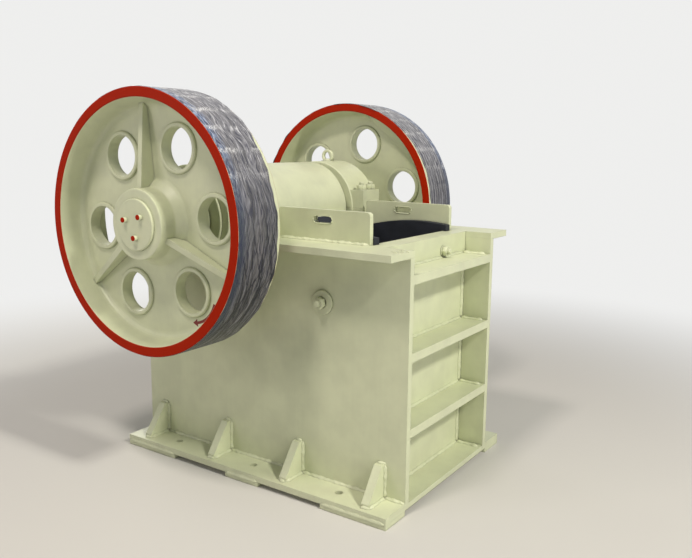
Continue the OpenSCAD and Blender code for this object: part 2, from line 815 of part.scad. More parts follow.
module tension_rods() {
  color(steel) for (y = [-rod_y, rod_y]) {
    on_rod(y) cylinder(r = rod_r, h = rod_len, $fn = 48);
    translate([rod_x, y + eye_w / 2, rod_z]) rotate([90, 0, 0])
      cylinder(r = 2.2 * pin_r, h = eye_w, $fn = 48);
    translate([rod_x, y + pin_len / 2, rod_z]) rotate([90, 0, 0]) cylinder(r = pin_r, h = pin_len, $fn = 48);
  }
}

module rod_nuts() {
  color(steel) for (y = [-rod_y, rod_y]) on_rod(y) difference() {
    union() {
      translate([0, 0, rod_len - rod_end]) cylinder(r = spring_r + collar_w, h = collar_t, $fn = fine);
      translate([0, 0, rod_len - rod_end + collar_t]) cylinder(r = 1.7 * rod_r, h = rod_nut_h, $fn = 6);
    }
    translate([0, 0, rod_len - rod_end - 1])
      cylinder(r = rod_r + seat, h = collar_t + rod_nut_h + 2, $fn = 48);
  }
}

// Points of a ring of wire round the coil at one angle
function coil_ring(a, sides) = let (z = spring_pitch * a / 360)
  [for (k = [0:sides - 1]) let (t = 360 * k / sides, r = spring_r + wire_r * cos(t))
    [r * cos(a), r * sin(a), z + wire_r * sin(t)]];

module tension_spring() {
  sides = 8;
  steps = spring_turns * 18;
  points = [for (i = [0:steps]) each coil_ring(i * 20, sides)];
  walls = [for (i = [0:steps - 1], k = [0:sides - 1]) let (n = (k + 1) % sides)
    [i * sides + k, (i + 1) * sides + k, (i + 1) * sides + n, i * sides + n]];
  low = [for (k = [0:sides - 1]) k];
  high = [for (k = [sides - 1:-1:0]) steps * sides + k];
  polyhedron(points, concat(walls, [low, high]), convexity = 10);
}

module tension_springs() {
  color(red) for (y = [-rod_y, rod_y]) on_rod(y)
    translate([0, 0, wall_along + seat_ring_t + wire_r + 0.5]) tension_spring();
}

module eccentric_shaft() {
  journal = barrel_half - journal_inset;
  color(steel) {
    translate([shaft_x, hub_out, shaft_z]) rotate([90, 0, 0])
      cylinder(r = shaft_r, h = hub_out - journal, $fn = fine);
    translate([shaft_x, -journal, shaft_z]) rotate([90, 0, 0])
      cylinder(r = shaft_r, h = hub_out - journal, $fn = fine);
    translate([shaft_x, journal, shaft_z - throw]) rotate([90, 0, 0])
      cylinder(r = shaft_r + throw + 5, h = 2 * journal, $fn = fine);
  }
}

// Half outline of a wheel: radius first, then distance from the middle of the crusher
function wheel_outline(grooved) = let (top = 10.5, low = 6.5, foot = hub_r + cone_w,
    first = web_mid - (grooves - 1) * groove_pitch / 2)
  concat([[shaft_r, hub_in], [hub_r, hub_in]],
    blend([hub_r, hub_in], [hub_r + hub_draft, web_low], [rim_root_r, web_low], 14),
    blend([hub_r + hub_draft, web_low], [rim_root_r, web_low], [rim_in_r, wheel_in], 26),
    blend([rim_root_r, web_low], [rim_in_r, wheel_in], [wheel_r, wheel_in], 3, 1),
    blend([rim_in_r, wheel_in], [wheel_r, wheel_in], [wheel_r, wheel_out], 2, 1),
    grooved ? [for (i = [0:grooves - 1], k = [0:3])
      let (h = first + i * groove_pitch, outer = k == 0 || k == 3)
      [outer ? wheel_r : wheel_r - groove_depth, h + (k < 2 ? -1 : 1) * (outer ? top : low)]] : [],
    blend([wheel_r, wheel_in], [wheel_r, wheel_out], [rim_in_r, wheel_out], 2, 1),
    blend([wheel_r, wheel_out], [rim_in_r, wheel_out], [rim_root_r, web_high], 3, 1),
    blend([rim_in_r, wheel_out], [rim_root_r, web_high], [foot, web_high], 26),
    blend([rim_root_r, web_high], [foot, web_high], [hub_r + 3, web_high + cone_w], 7, 2),
    blend([foot, web_high], [hub_r + 3, web_high + cone_w], [hub_r, hub_out], 6, 2),
    blend([hub_r + 3, web_high + cone_w], [hub_r, hub_out], [shaft_r, hub_out], 5, 2),
    [[shaft_r, hub_out]]);

// A tapered rib from the hub out to the rim, on the outer side of the web
module wheel_rib(a) {
  rotate([0, 0, a]) translate([0, spoke_t / 2, 0]) rotate([90, 0, 0]) linear_extrude(spoke_t)
    polygon([[hub_r - 8, web_high - 4], [rim_root_r + 4, web_high - 4],
      [rim_root_r + 4, web_high + spoke_low], [hub_r + 40, web_high + spoke_high],
      [hub_r - 8, web_high + spoke_root]]);
}

// The heavy segment cast inside the rim that balances the throw of the shaft
module balance_segment(a) {
  intersection() {
    translate([0, 0, web_low - segment_t]) cylinder(r = rim_root_r + 6, h = segment_t + 2, $fn = fine);
    rotate([0, 0, a]) translate([rim_root_r - segment_depth, -wheel_r, web_low - wheel_w / 4])
      cube([2 * segment_depth, 2 * wheel_r, wheel_w / 2]);
  }
}

// The raised ring about a hole of the web
module hole_boss() {
  translate([hole_circle, 0, web_mid]) for (s = [-1, 1]) mirror([0, 0, s < 0 ? 1 : 0]) {
    cylinder(r = boss_r, h = boss_t / 2 - ease, $fn = fine);
    translate([0, 0, boss_t / 2 - ease]) cylinder(r1 = boss_r, r2 = boss_r - ease, h = ease, $fn = fine);
  }
}

module wheel(side, grooved, hole_angle, rib_angle) {
  outboard(side) difference() {
    union() {
      rotate_extrude($fn = 128) polygon(wheel_outline(grooved));
      for (i = [0:2]) wheel_rib(rib_angle + 120 * i);
      for (i = [0:holes - 1]) rotate([0, 0, hole_angle + i * 360 / holes]) hole_boss();
      balance_segment(50.5);
    }
    for (i = [0:holes - 1]) rotate([0, 0, hole_angle + i * 360 / holes])
      translate([hole_circle, 0, web_mid - boss_t]) cylinder(r = hole_r, h = 2 * boss_t, $fn = fine);
  }
}

module flywheel() color(paint) wheel(-1, false, 6, 96);

module grooved_pulley() color(paint) wheel(1, true, 17, 107);

module hub_caps() {
  color(paint) for (side = [-1, 1]) {
    outboard(side) translate([0, 0, hub_out]) {
      cylinder(r = cap_r, h = cap_t - 3, $fn = fine);
      translate([0, 0, cap_t - 3]) cylinder(r1 = cap_r, r2 = cap_r - 3, h = 3, $fn = fine);
    }
    for (i = [0:2]) outboard(side) rotate([0, 0, 40 + 120 * i])
      translate([cap_bolt_circle, 0, hub_out + cap_t - 2])
        cylinder(r = cap_bolt_r, h = 1.8 * cap_bolt_r, $fn = 48);
  }
}

module wheel_films() {
  color(film_grey) for (side = [-1, 1]) difference() {
    shaft_disc(side, wheel_r + film_t, wheel_in + film_in_edge, wheel_out - film_out_edge);
    shaft_disc(side, wheel_r + 0.3, wheel_in, wheel_out);
  }
}

side_plate(-1);  // side_plate_near
side_plate(1);  // side_plate_far
top_flange(-1);  // top_flange_near
top_flange(1);  // top_flange_far
base_plate(-1);  // base_plate_near
base_plate(1);  // base_plate_far
levelling_pads();
base_gussets();
front_wall();
front_ribs();
rear_wall();
rear_ribs();
hopper_plate(-1);  // hopper_plate_near
hopper_plate(1);  // hopper_plate_far
cheek_liner(-1);  // cheek_liner_near
cheek_liner(1);  // cheek_liner_far
cheek_bolts();
fixed_jaw_plate();
jaw_bolts();
thrust_seat();
adjusting_shims();
adjusting_block();
block_guides();
bearing_seat(-1);  // bearing_seat_near
bearing_seat(1);  // bearing_seat_far
bearing_cap(-1);  // bearing_cap_near
bearing_cap(1);  // bearing_cap_far
bearing_studs();
bearing_covers();
lifting_eyes();
pitman();
pitman_barrel();
pitman_webs();
pitman_covers();
swing_jaw_plate();
swing_jaw_clamp();
tension_rods();
rod_nuts();
tension_springs();
toggle_plate();
eccentric_shaft();
flywheel();
grooved_pulley();
hub_caps();
wheel_films();
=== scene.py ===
"""Looks of a single toggle jaw crusher: paint, welds, fasteners, springs, wrapped wheels and the stage."""

import json
import math

import bmesh
import bpy
import numpy as np
from bpy.props import FloatProperty, FloatVectorProperty, PointerProperty
from mathutils import Matrix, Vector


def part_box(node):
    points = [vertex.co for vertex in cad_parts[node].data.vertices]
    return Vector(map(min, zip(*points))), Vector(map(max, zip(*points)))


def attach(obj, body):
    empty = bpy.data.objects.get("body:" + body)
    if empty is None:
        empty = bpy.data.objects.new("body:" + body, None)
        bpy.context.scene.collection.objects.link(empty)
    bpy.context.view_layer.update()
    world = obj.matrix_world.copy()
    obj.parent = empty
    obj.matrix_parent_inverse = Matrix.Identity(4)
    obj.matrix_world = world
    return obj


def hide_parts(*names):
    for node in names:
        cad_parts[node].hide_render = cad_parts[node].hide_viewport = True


bl_info = {
    "name": "Jaw Crusher Looks",
    "version": (1, 0, 0),
    "blender": (4, 5, 0),
    "location": "View3D > Sidebar > Crusher",
    "description": "Paint, welds, fasteners, springs and film wrap for a jaw crusher",
    "category": "Object",
}

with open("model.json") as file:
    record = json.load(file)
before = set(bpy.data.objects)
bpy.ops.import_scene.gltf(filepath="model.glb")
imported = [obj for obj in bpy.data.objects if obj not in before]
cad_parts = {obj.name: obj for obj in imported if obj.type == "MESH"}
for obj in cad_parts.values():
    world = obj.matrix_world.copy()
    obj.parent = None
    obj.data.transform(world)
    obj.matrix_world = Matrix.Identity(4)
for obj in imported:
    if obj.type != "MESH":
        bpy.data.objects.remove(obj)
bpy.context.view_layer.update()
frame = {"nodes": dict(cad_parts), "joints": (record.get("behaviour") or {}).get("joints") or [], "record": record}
NODES = frame["nodes"]
BOX = {name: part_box(name) for name in NODES}

# Places that several pieces share, taken from the frame
JOINT = {j["name"]: j for j in frame["joints"]}
OPENING = {o["name"]: np.array(o["box_m"]) for o in frame["record"]["physics"]["openings"]}
SHAFT = np.array(JOINT["shaft_spin"]["pos_m"], float)
WHEEL_R = (BOX["flywheel"][1][2] - BOX["flywheel"][0][2]) / 2
FILM_R = (BOX["wheel_films"][1][2] - BOX["wheel_films"][0][2]) / 2
FILM_OUT = BOX["wheel_films"][1][1]


def points_of(mesh):
    """The points of a mesh."""
    points = np.empty(len(mesh.vertices) * 3)
    mesh.vertices.foreach_get("co", points)
    return points.reshape(-1, 3)


def rim_faces():
    """How far the inner and outer face of a rim lie from the middle of the crusher."""
    points = points_of(NODES["flywheel"].data)
    rim = points[np.hypot(points[:, 0] - SHAFT[0], points[:, 2] - SHAFT[2]) > 0.97 * WHEEL_R]
    reach = np.abs(rim[:, 1])
    return reach.min(), reach.max()


RIM_IN, RIM_OUT = rim_faces()

# Sizes of the work on the frame, in metres
HOUSING_R = 0.24  # radius of a bearing housing, which the welds under the flange stop short of
RED_BAND = 0.0415  # width of the red face of a rim
PAINT_DEPTH = 0.0025  # how far red paint runs back from a face
GROOVE_PITCH = 0.0255  # distance between V grooves of the drive pulley
EYE_HOLE_R = 0.0205  # radius of the hole in a lifting eye
JAW_BOLT_R = 0.013  # radius of the bolts that hold the fixed jaw
CHEEK_BOLT_R = 0.015  # radius of the bolts that hold the cheek liners
ARROW_R = 0.128  # radius of the arrow that shows the turn, round its hole
FLOOR_REACH = 60.0  # half the width of the floor


def solids_of(name):
    """Lowest and highest corners of each separate solid of a CAD node, by spreading the least vertex number
    along the edges until it stays the same."""
    mesh = NODES[name].data
    points = points_of(mesh)
    same = np.unique(points.round(5), axis=0, return_inverse=True)[1].ravel()
    edges = np.empty(len(mesh.edges) * 2, int)
    mesh.edges.foreach_get("vertices", edges)
    a, b = same[edges].reshape(-1, 2).T
    label, before = np.arange(same.max() + 1), None
    while before is None or (label != before).any():
        before = label.copy()
        np.minimum.at(label, a, before[b])
        np.minimum.at(label, b, before[a])
        label = label[label]
    parts = [points[label[same] == k] for k in np.unique(label)]
    return [(part.min(0), part.max(0)) for part in parts]


# Sizes and colours that a user may change

class CrusherSizes(bpy.types.PropertyGroup):
    """Sizes of the small work that is added to the frame."""

    weld: FloatProperty(
        name="Weld leg", description="Leg length of the fillet welds", default=0.010, unit="LENGTH")
    ripple: FloatProperty(
        name="Weld ripple", description="Distance between ripples of a weld", default=0.011,
        unit="LENGTH")
    wrinkle: FloatProperty(
        name="Film wrinkle", description="Height of the wrinkles of the film", default=0.0022,
        unit="LENGTH")
    thread: FloatProperty(
        name="Thread pitch", description="Pitch of the stud threads", default=0.0035, unit="LENGTH")
    burr: FloatProperty(
        name="Burr", description="Thickness of the burr round a torch cut slot", default=0.0022,
        unit="LENGTH")


class CrusherColours(bpy.types.PropertyGroup):
    """Colours of the paints and finishes."""

    paint: FloatVectorProperty(
        name="Paint", description="Pale green enamel", subtype="COLOR", default=(0.610, 0.645, 0.450))
    rim: FloatVectorProperty(
        name="Rim red", description="Red of the rims and bolt tips", subtype="COLOR",
        default=(0.375, 0.016, 0.002))
    primer: FloatVectorProperty(
        name="Jaw black", description="Black of the jaws and liners", subtype="COLOR",
        default=(0.012, 0.014, 0.020))
    film: FloatVectorProperty(
        name="Film", description="Grey of the wrapped film", subtype="COLOR",
        default=(0.080, 0.080, 0.094))
    steel: FloatVectorProperty(
        name="Steel", description="Machined steel", subtype="COLOR", default=(0.330, 0.330, 0.320))
    floor: FloatVectorProperty(
        name="Floor", description="Plain pale floor", subtype="COLOR", default=(0.62, 0.61, 0.59))


def sizes():
    """The sizes that the user may change."""
    return bpy.context.scene.crusher_sizes


def colours():
    """The colours that the user may change."""
    return bpy.context.scene.crusher_colours


# Surfaces

def grid(points, wrap_u=False, wrap_v=False):
    """Quads over an array of points with shape (nu, nv, 3). A wrapped direction joins its last row to its
    first."""
    nu, nv = points.shape[:2]
    i = np.arange(nu if wrap_u else nu - 1)[:, None]
    j = np.arange(nv if wrap_v else nv - 1)[None, :]
    corners = [(i % nu) * nv + j % nv, ((i + 1) % nu) * nv + j % nv,
               ((i + 1) % nu) * nv + (j + 1) % nv, (i % nu) * nv + (j + 1) % nv]
    faces = np.stack(np.broadcast_arrays(*corners), -1).reshape(-1, 4)
    return points.reshape(-1, 3), faces


def joined(parts):
    """One (points, faces) pair from several, with the face numbers moved up past the points before them."""
    starts = np.cumsum([0] + [len(points) for points, _ in parts[:-1]])
    faces = [faces + start for (_, faces), start in zip(parts, starts)]
    return np.concatenate([points for points, _ in parts]), np.concatenate(faces)


def along(axis):
    """Three unit vectors as rows: two across the axis and the axis itself."""
    w = np.asarray(axis, float) / np.linalg.norm(axis)
    u = np.cross([0.0, 0.0, 1.0] if abs(w[2]) < 0.9 else [1.0, 0.0, 0.0], w)
    u /= np.linalg.norm(u)
    return np.stack([u, np.cross(w, u), w])


def revolved(profile, origin, axis, steps=48, radius=None, turn=0.0):
    """Surface of revolution: profile rows are (r, h), and the point at angle a is
    origin + r (u cos(a + turn) + v sin(a + turn)) + h w. radius(a, r, h) may change r over the surface."""
    profile = np.asarray(profile, float)
    a = np.linspace(0, 2 * np.pi, steps, endpoint=False)[None, :]
    r = np.repeat(profile[:, :1], steps, 1)
    h = np.repeat(profile[:, 1:], steps, 1)
    if radius is not None:
        r = radius(a, r, h)
    u, v, w = along(axis)
    points = (np.asarray(origin, float) + (r * np.cos(a + turn))[..., None] * u
              + (r * np.sin(a + turn))[..., None] * v + h[..., None] * w)
    return grid(points, wrap_v=True)


def ring(centre, axis, radius, thick, wide):
    """Forged ring: a torus centre + (radius + thick c)(u cos a + v sin a) + wide s w, where c and s are cos t
    and sin t with their size raised to the power 0.55. That makes the section a box with round corners."""
    u, v, w = along(axis)
    a = np.linspace(0, 2 * np.pi, 64, endpoint=False)[:, None, None]
    t = np.linspace(0, 2 * np.pi, 24, endpoint=False)[None, :, None]
    c, s = (np.sign(wave) * np.abs(wave) ** 0.55 for wave in (np.cos(t), np.sin(t)))
    points = np.asarray(centre, float) + (radius + thick * c) * (np.cos(a) * u + np.sin(a) * v)
    return grid(points + wide * s * w, wrap_u=True, wrap_v=True)


def tube(path, radius, sides=10):
    """Round tube along a closed path with shape (n, 3). Each ring lies across the path's own direction, and
    radius holds one value for each point."""
    ahead = np.roll(path, -1, 0) - np.roll(path, 1, 0)
    ahead /= np.linalg.norm(ahead, axis=1, keepdims=True)
    side = np.cross(ahead, [0.0, 1.0, 0.0])
    side /= np.linalg.norm(side, axis=1, keepdims=True)
    up = np.cross(side, ahead)
    t = np.linspace(0, 2 * np.pi, sides, endpoint=False)[None, :, None]
    points = path[:, None] + radius[:, None, None] * (np.cos(t) * side[:, None] + np.sin(t) * up[:, None])
    return grid(points, wrap_u=True, wrap_v=True)


def placed(name, data):
    """An object in the scene with that data."""
    thing = bpy.data.objects.new(name, data)
    bpy.context.scene.collection.objects.link(thing)
    return thing


def new_piece(name, surface, body, finish, smooth):
    """A mesh object from (points, faces), with poles merged and faces outward. Edges sharper than smooth, in
    degrees, stay sharp."""
    points, faces = surface
    mesh = bpy.data.meshes.new(name)
    mesh.from_pydata(points, [], faces.tolist())
    form = bmesh.new()
    form.from_mesh(mesh)
    bmesh.ops.remove_doubles(form, verts=form.verts, dist=1e-6)
    bmesh.ops.recalc_face_normals(form, faces=form.faces)
    form.to_mesh(mesh)
    form.free()
    mesh.shade_smooth()
    mesh.set_sharp_from_angle(angle=math.radians(smooth))
    piece = placed(name, mesh)
    mesh.materials.append(finish_of(finish))
    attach(piece, body)
    return piece


def hexagon(across):
    """Radius of a hexagon at angle a: half its width over the cosine of the angle from a flat."""
    def radius(a, r, _):
        return np.minimum(r, across / 2 / np.cos((a + np.pi / 6) % (np.pi / 3) - np.pi / 6))
    return radius


def nut(origin, axis, across, height, turn):
    """Hexagon nut: the least of a hexagon's radius and a cone that chamfers both ends."""
    corner = across / 2 / math.cos(math.pi / 6)
    chamfer = 0.12 * height
    profile = [(0, 0), (0.94 * across / 2, 0), (corner, chamfer), (corner, height - chamfer),
               (0.94 * across / 2, height), (0, height)]
    return revolved(profile, origin, axis, 72, hexagon(across), turn)


def disc(origin, axis, radius, thick):
    """Round disc with a small round at both rims."""
    edge = min(thick, radius) * 0.25
    profile = [(0, 0), (radius - edge, 0), (radius, edge), (radius, thick - edge),
               (radius - edge, thick), (0, thick)]
    return revolved(profile, origin, axis)


def thread(origin, axis, radius, length, pitch):
    """Threaded end under a chamfered tip: the radius falls by a triangle wave of the height less the pitch
    times the turns."""
    rings = max(8, int(length / pitch * 6))
    h = np.linspace(0, length, rings)
    tip = np.clip((length - h) / pitch, 0.0, 1.0)
    profile = np.concatenate([[(0, 0)], np.stack([radius * (0.8 + 0.2 * tip), h], 1), [(0, length)]])

    def ridge(a, r, h):
        wave = np.abs(((h / pitch - a / (2 * np.pi)) % 1) - 0.5) * 2
        return r * (1 - 0.09 * wave)
    return revolved(profile, origin, axis, 24, ridge)


def bolt(low, high, axis, radius, seat, washer_r, washer_t, head=None, turn=0.0):
    """A bolt from the inner to the outer end of a CAD bolt's box: shank, washer and nut on the seat, and a
    threaded tip. seat is the place of the washer's inner face along the axis. head is the radius and
    thickness of a round head at the inner end."""
    way = np.asarray(axis, float)
    k = int(np.argmax(np.abs(way)))
    ends = (low[k], high[k]) if way[k] > 0 else (high[k], low[k])
    middle = (np.asarray(low) + high) / 2

    def at(place):
        point = middle.copy()
        point[k] = place
        return point

    sign = way[k]
    face = seat + sign * washer_t
    top = face + sign * 1.6 * radius
    parts = [disc(at(ends[0]), axis, radius, abs(seat - ends[0])),
             disc(at(seat), axis, washer_r, washer_t),
             nut(at(face), axis, 2 * 1.8 * radius * math.cos(math.pi / 6), 1.6 * radius, turn),
             thread(at(top), axis, radius, abs(ends[1] - top), sizes().thread)]
    if head:
        parts.append(disc(at(ends[0]), axis, *head))
    return joined(parts)


# Paint and finishes

class Graph:
    """Nodes of one tree. In every method an input given as a socket is linked, and any other is a value."""

    def __init__(self, tree):
        self.tree = tree

    def add(self, kind, inputs=None, **settings):
        """A node of that kind, with its inputs and its settings."""
        node = self.tree.nodes.new(kind)
        for key, value in settings.items():
            setattr(node, key, value)
        for key, value in (inputs or {}).items():
            if isinstance(value, bpy.types.NodeSocket):
                self.tree.links.new(value, node.inputs[key])
            else:
                node.inputs[key].default_value = value
        return node

    def math(self, operation, a, b=0.0, c=0.0, clamp=False):
        """The result of one sum."""
        node = self.add("ShaderNodeMath", {0: a, 1: b, 2: c}, operation=operation, use_clamp=clamp)
        return node.outputs[0]

    def times(self, a, b, clamp=False):
        """The product of two values."""
        return self.math("MULTIPLY", a, b, clamp=clamp)

    def fit(self, value, low, high, new_low=0.0, new_high=1.0):
        """A soft step from new_low to new_high, while the value goes from low to high."""
        return self.add("ShaderNodeMapRange", {"Value": value, "From Min": low, "From Max": high,
                        "To Min": new_low, "To Max": new_high}, interpolation_type="SMOOTHSTEP").outputs[0]

    def mix(self, factor, a, b):
        """Colour a where the factor is 0, and colour b where it is 1."""
        a, b = (c if isinstance(c, bpy.types.NodeSocket) else (*c[:3], 1.0) for c in (a, b))
        node = self.add("ShaderNodeMix", {0: factor, 6: a, 7: b}, data_type="RGBA", blend_type="MIX")
        return node.outputs[2]

    def noise(self, place, scale, detail=4.0, rough=0.55):
        """Noise from about 0.2 to 0.8."""
        return self.add("ShaderNodeTexNoise", {"Vector": place, "Scale": scale, "Detail": detail,
                        "Roughness": rough}).outputs["Fac"]

    def stretched(self, place, scale):
        """The place with each axis times its scale."""
        return self.add("ShaderNodeMapping", {"Vector": place, "Scale": scale}).outputs[0]

    def place(self):
        """Object coordinates."""
        return self.add("ShaderNodeTexCoord").outputs["Object"]

    def up(self):
        """How far the surface looks up, from -1 to 1."""
        normal = self.add("ShaderNodeNewGeometry").outputs["Normal"]
        return self.add("ShaderNodeSeparateXYZ", {0: normal}).outputs["Z"]

    def seen(self):
        """One where the camera sees the surface straight, in a mirror or through glass."""
        path = self.add("ShaderNodeLightPath").outputs
        direct = self.math("MAXIMUM", path["Is Camera Ray"], path["Is Glossy Ray"])
        return self.math("MAXIMUM", direct, path["Is Transmission Ray"])

    def use(self, name, **inputs):
        """The sockets that a shared group gives for these inputs."""
        return self.add("ShaderNodeGroup", inputs, node_tree=shared(name)).outputs


def group(name, inputs, outputs, build):
    """A shader node group with named sockets of three kinds. build(graph, start) gives its outputs."""
    tree = bpy.data.node_groups.new(name, "ShaderNodeTree")
    kinds = {"float": "NodeSocketFloat", "colour": "NodeSocketColor", "vector": "NodeSocketVector"}
    for label, kind, value in inputs:
        socket = tree.interface.new_socket(label, in_out="INPUT", socket_type=kinds[kind])
        if value is not None:
            socket.default_value = value
    for label, kind in outputs:
        tree.interface.new_socket(label, in_out="OUTPUT", socket_type=kinds[kind])
    graph = Graph(tree)
    start = tree.nodes.new("NodeGroupInput")
    end = tree.nodes.new("NodeGroupOutput")
    for label, value in build(graph, start.outputs).items():
        tree.links.new(value, end.inputs[label])
    return tree


def edge_wear_group():
    """Mask of chipped edges: where a rounded normal leaves the true one, broken up by noise."""
    def build(g, start):
        rounded = g.add("ShaderNodeBevel", {"Radius": start["Width"]}, samples=4).outputs[0]
        true = g.add("ShaderNodeNewGeometry").outputs["Normal"]
        turn = g.math("SUBTRACT", 1.0, g.add("ShaderNodeVectorMath", {0: rounded, 1: true},
                                              operation="DOT_PRODUCT").outputs["Value"])
        chips = g.noise(start["Place"], 55.0, 5.0, 0.7)
        mask = g.times(g.fit(turn, 0.02, 0.25), g.fit(chips, 0.56, 0.66))
        return {"Mask": g.times(mask, start["Amount"], clamp=True), "Normal": rounded}
    inputs = [("Place", "vector", None), ("Width", "float", 0.003), ("Amount", "float", 1.0)]
    return group("Edge wear", inputs, [("Mask", "float"), ("Normal", "vector")], build)


def sprayed_group():
    """Sprayed enamel: fine orange peel, broad waves of the filler under it and thin runs down the plate."""
    def build(g, start):
        peel = g.noise(start["Place"], 420.0, 2.0, 0.5)
        wave = g.noise(start["Place"], 9.0, 3.0, 0.5)
        runs = g.noise(g.stretched(start["Place"], (60.0, 60.0, 2.2)), 1.0, 3.0, 0.6)
        height = g.math("ADD", g.times(peel, 0.12), g.times(wave, 0.9))
        return {"Height": g.math("ADD", height, g.times(g.fit(runs, 0.58, 0.75), 0.25)),
                "Tone": g.math("ADD", g.times(wave, 0.85), g.times(runs, 0.15))}
    outputs = [("Height", "float"), ("Tone", "float")]
    return group("Sprayed enamel", [("Place", "vector", None)], outputs, build)


def dust_group():
    """Shop dust: more on faces that look up and near the ground, in soft blotches."""
    def build(g, start):
        low = g.add("ShaderNodeSeparateXYZ", {0: start["Place"]}).outputs["Z"]
        blotch = g.fit(g.noise(start["Place"], 5.0, 6.0, 0.65), 0.42, 0.72)
        flat = g.times(g.fit(g.up(), 0.5, 1.0), 0.6)
        ground = g.fit(low, 0.30, 0.0)
        total = g.times(g.math("MAXIMUM", flat, ground), blotch)
        return {"Mask": g.times(total, start["Amount"], clamp=True)}
    inputs = [("Place", "vector", None), ("Amount", "float", 0.5)]
    return group("Shop dust", inputs, [("Mask", "float")], build)


def corner_shade_group():
    """Painted shade, with grime, in tight corners: where little of the open air is seen from the surface."""
    def build(g, start):
        air = g.add("ShaderNodeAmbientOcclusion", {"Distance": start["Reach"]}, samples=6).outputs["AO"]
        return {"Mask": g.times(g.fit(air, 0.82, 0.30), start["Amount"], clamp=True)}
    inputs = [("Reach", "float", 0.014), ("Amount", "float", 0.5)]
    return group("Corner grime", inputs, [("Mask", "float")], build)


GROUPS = {}
MATERIALS = {}


def shared(name):
    """The node group of that name, built once."""
    builders = {"Edge wear": edge_wear_group, "Sprayed enamel": sprayed_group, "Shop dust": dust_group,
                "Corner grime": corner_shade_group}
    if name not in GROUPS:
        GROUPS[name] = builders[name]()
    return GROUPS[name]


def start_material(name):
    """An empty material and the graph of its nodes."""
    material = bpy.data.materials.new(name)
    material.use_nodes = True
    material.node_tree.nodes.clear()
    return material, Graph(material.node_tree)


def end_material(g, inputs):
    """Closes a material with a Principled shader that has these inputs."""
    shader = g.add("ShaderNodeBsdfPrincipled", inputs)
    g.tree.links.new(shader.outputs[0], g.add("ShaderNodeOutputMaterial").inputs["Surface"])


def round_place(g, place, centre):
    """X, Y and Z from a centre, and the distance sqrt(X X + Z Z) from the axis along Y through it."""
    moved = g.add("ShaderNodeVectorMath", {0: place, 1: tuple(centre)}, operation="SUBTRACT").outputs[0]
    parts = g.add("ShaderNodeSeparateXYZ", {0: moved}).outputs
    x_squared = g.times(parts["X"], parts["X"])
    z_squared = g.times(parts["Z"], parts["Z"])
    return parts, g.math("SQRT", g.math("ADD", x_squared, z_squared))


def shaft_radius(g, place):
    """Distance from the shaft axis, and distance from the middle along it."""
    parts, radius = round_place(g, place, SHAFT)
    return radius, g.math("ABSOLUTE", parts["Y"])


def rim_mask(g, place):
    """One on the faces of a rim, and on the ends of the hub bolts."""
    radius, reach = shaft_radius(g, place)

    def past(value, edge, soft):
        return g.fit(value, edge - soft, edge + soft)

    rim = past(radius, WHEEL_R - RED_BAND, 0.001)
    face = g.math("MAXIMUM", past(reach, RIM_OUT - PAINT_DEPTH, 0.0005),
                  past(reach, RIM_IN + PAINT_DEPTH, -0.0005))
    tips = past(reach, BOX["hub_caps"][1][1] - PAINT_DEPTH, 0.0005)
    return g.math("MAXIMUM", g.times(rim, face), tips)


def arrow_mask(g, place):
    """One on the arrow that shows which way the flywheel turns: an arc round its last hole, with a pointed
    head. Angles are in degrees about the middle of the hole."""
    tail, neck, tip = -16.0, -78.0, -90.0
    parts, radius = round_place(g, place, OPENING["flywheel_hole_6"].mean(0))
    turn = g.times(g.math("ARCTAN2", parts["Z"], parts["X"]), 180 / math.pi)
    off = g.math("ABSOLUTE", g.math("SUBTRACT", radius, ARROW_R))

    def between(low, high):
        return g.times(g.math("GREATER_THAN", turn, low), g.math("LESS_THAN", turn, high))

    shaft = g.times(g.math("LESS_THAN", off, 0.006), between(neck, tail))
    half = g.times(g.math("SUBTRACT", turn, tip), 0.0014)
    head = g.times(g.math("LESS_THAN", off, half), between(tip, neck))
    reach = shaft_radius(g, place)[1]
    near = g.math("LESS_THAN", g.add("ShaderNodeSeparateXYZ", {0: place}).outputs["Y"], 0.0)
    outside = g.math("GREATER_THAN", reach, (RIM_IN + RIM_OUT) / 2)
    return g.times(g.math("MAXIMUM", shaft, head), g.times(near, outside))


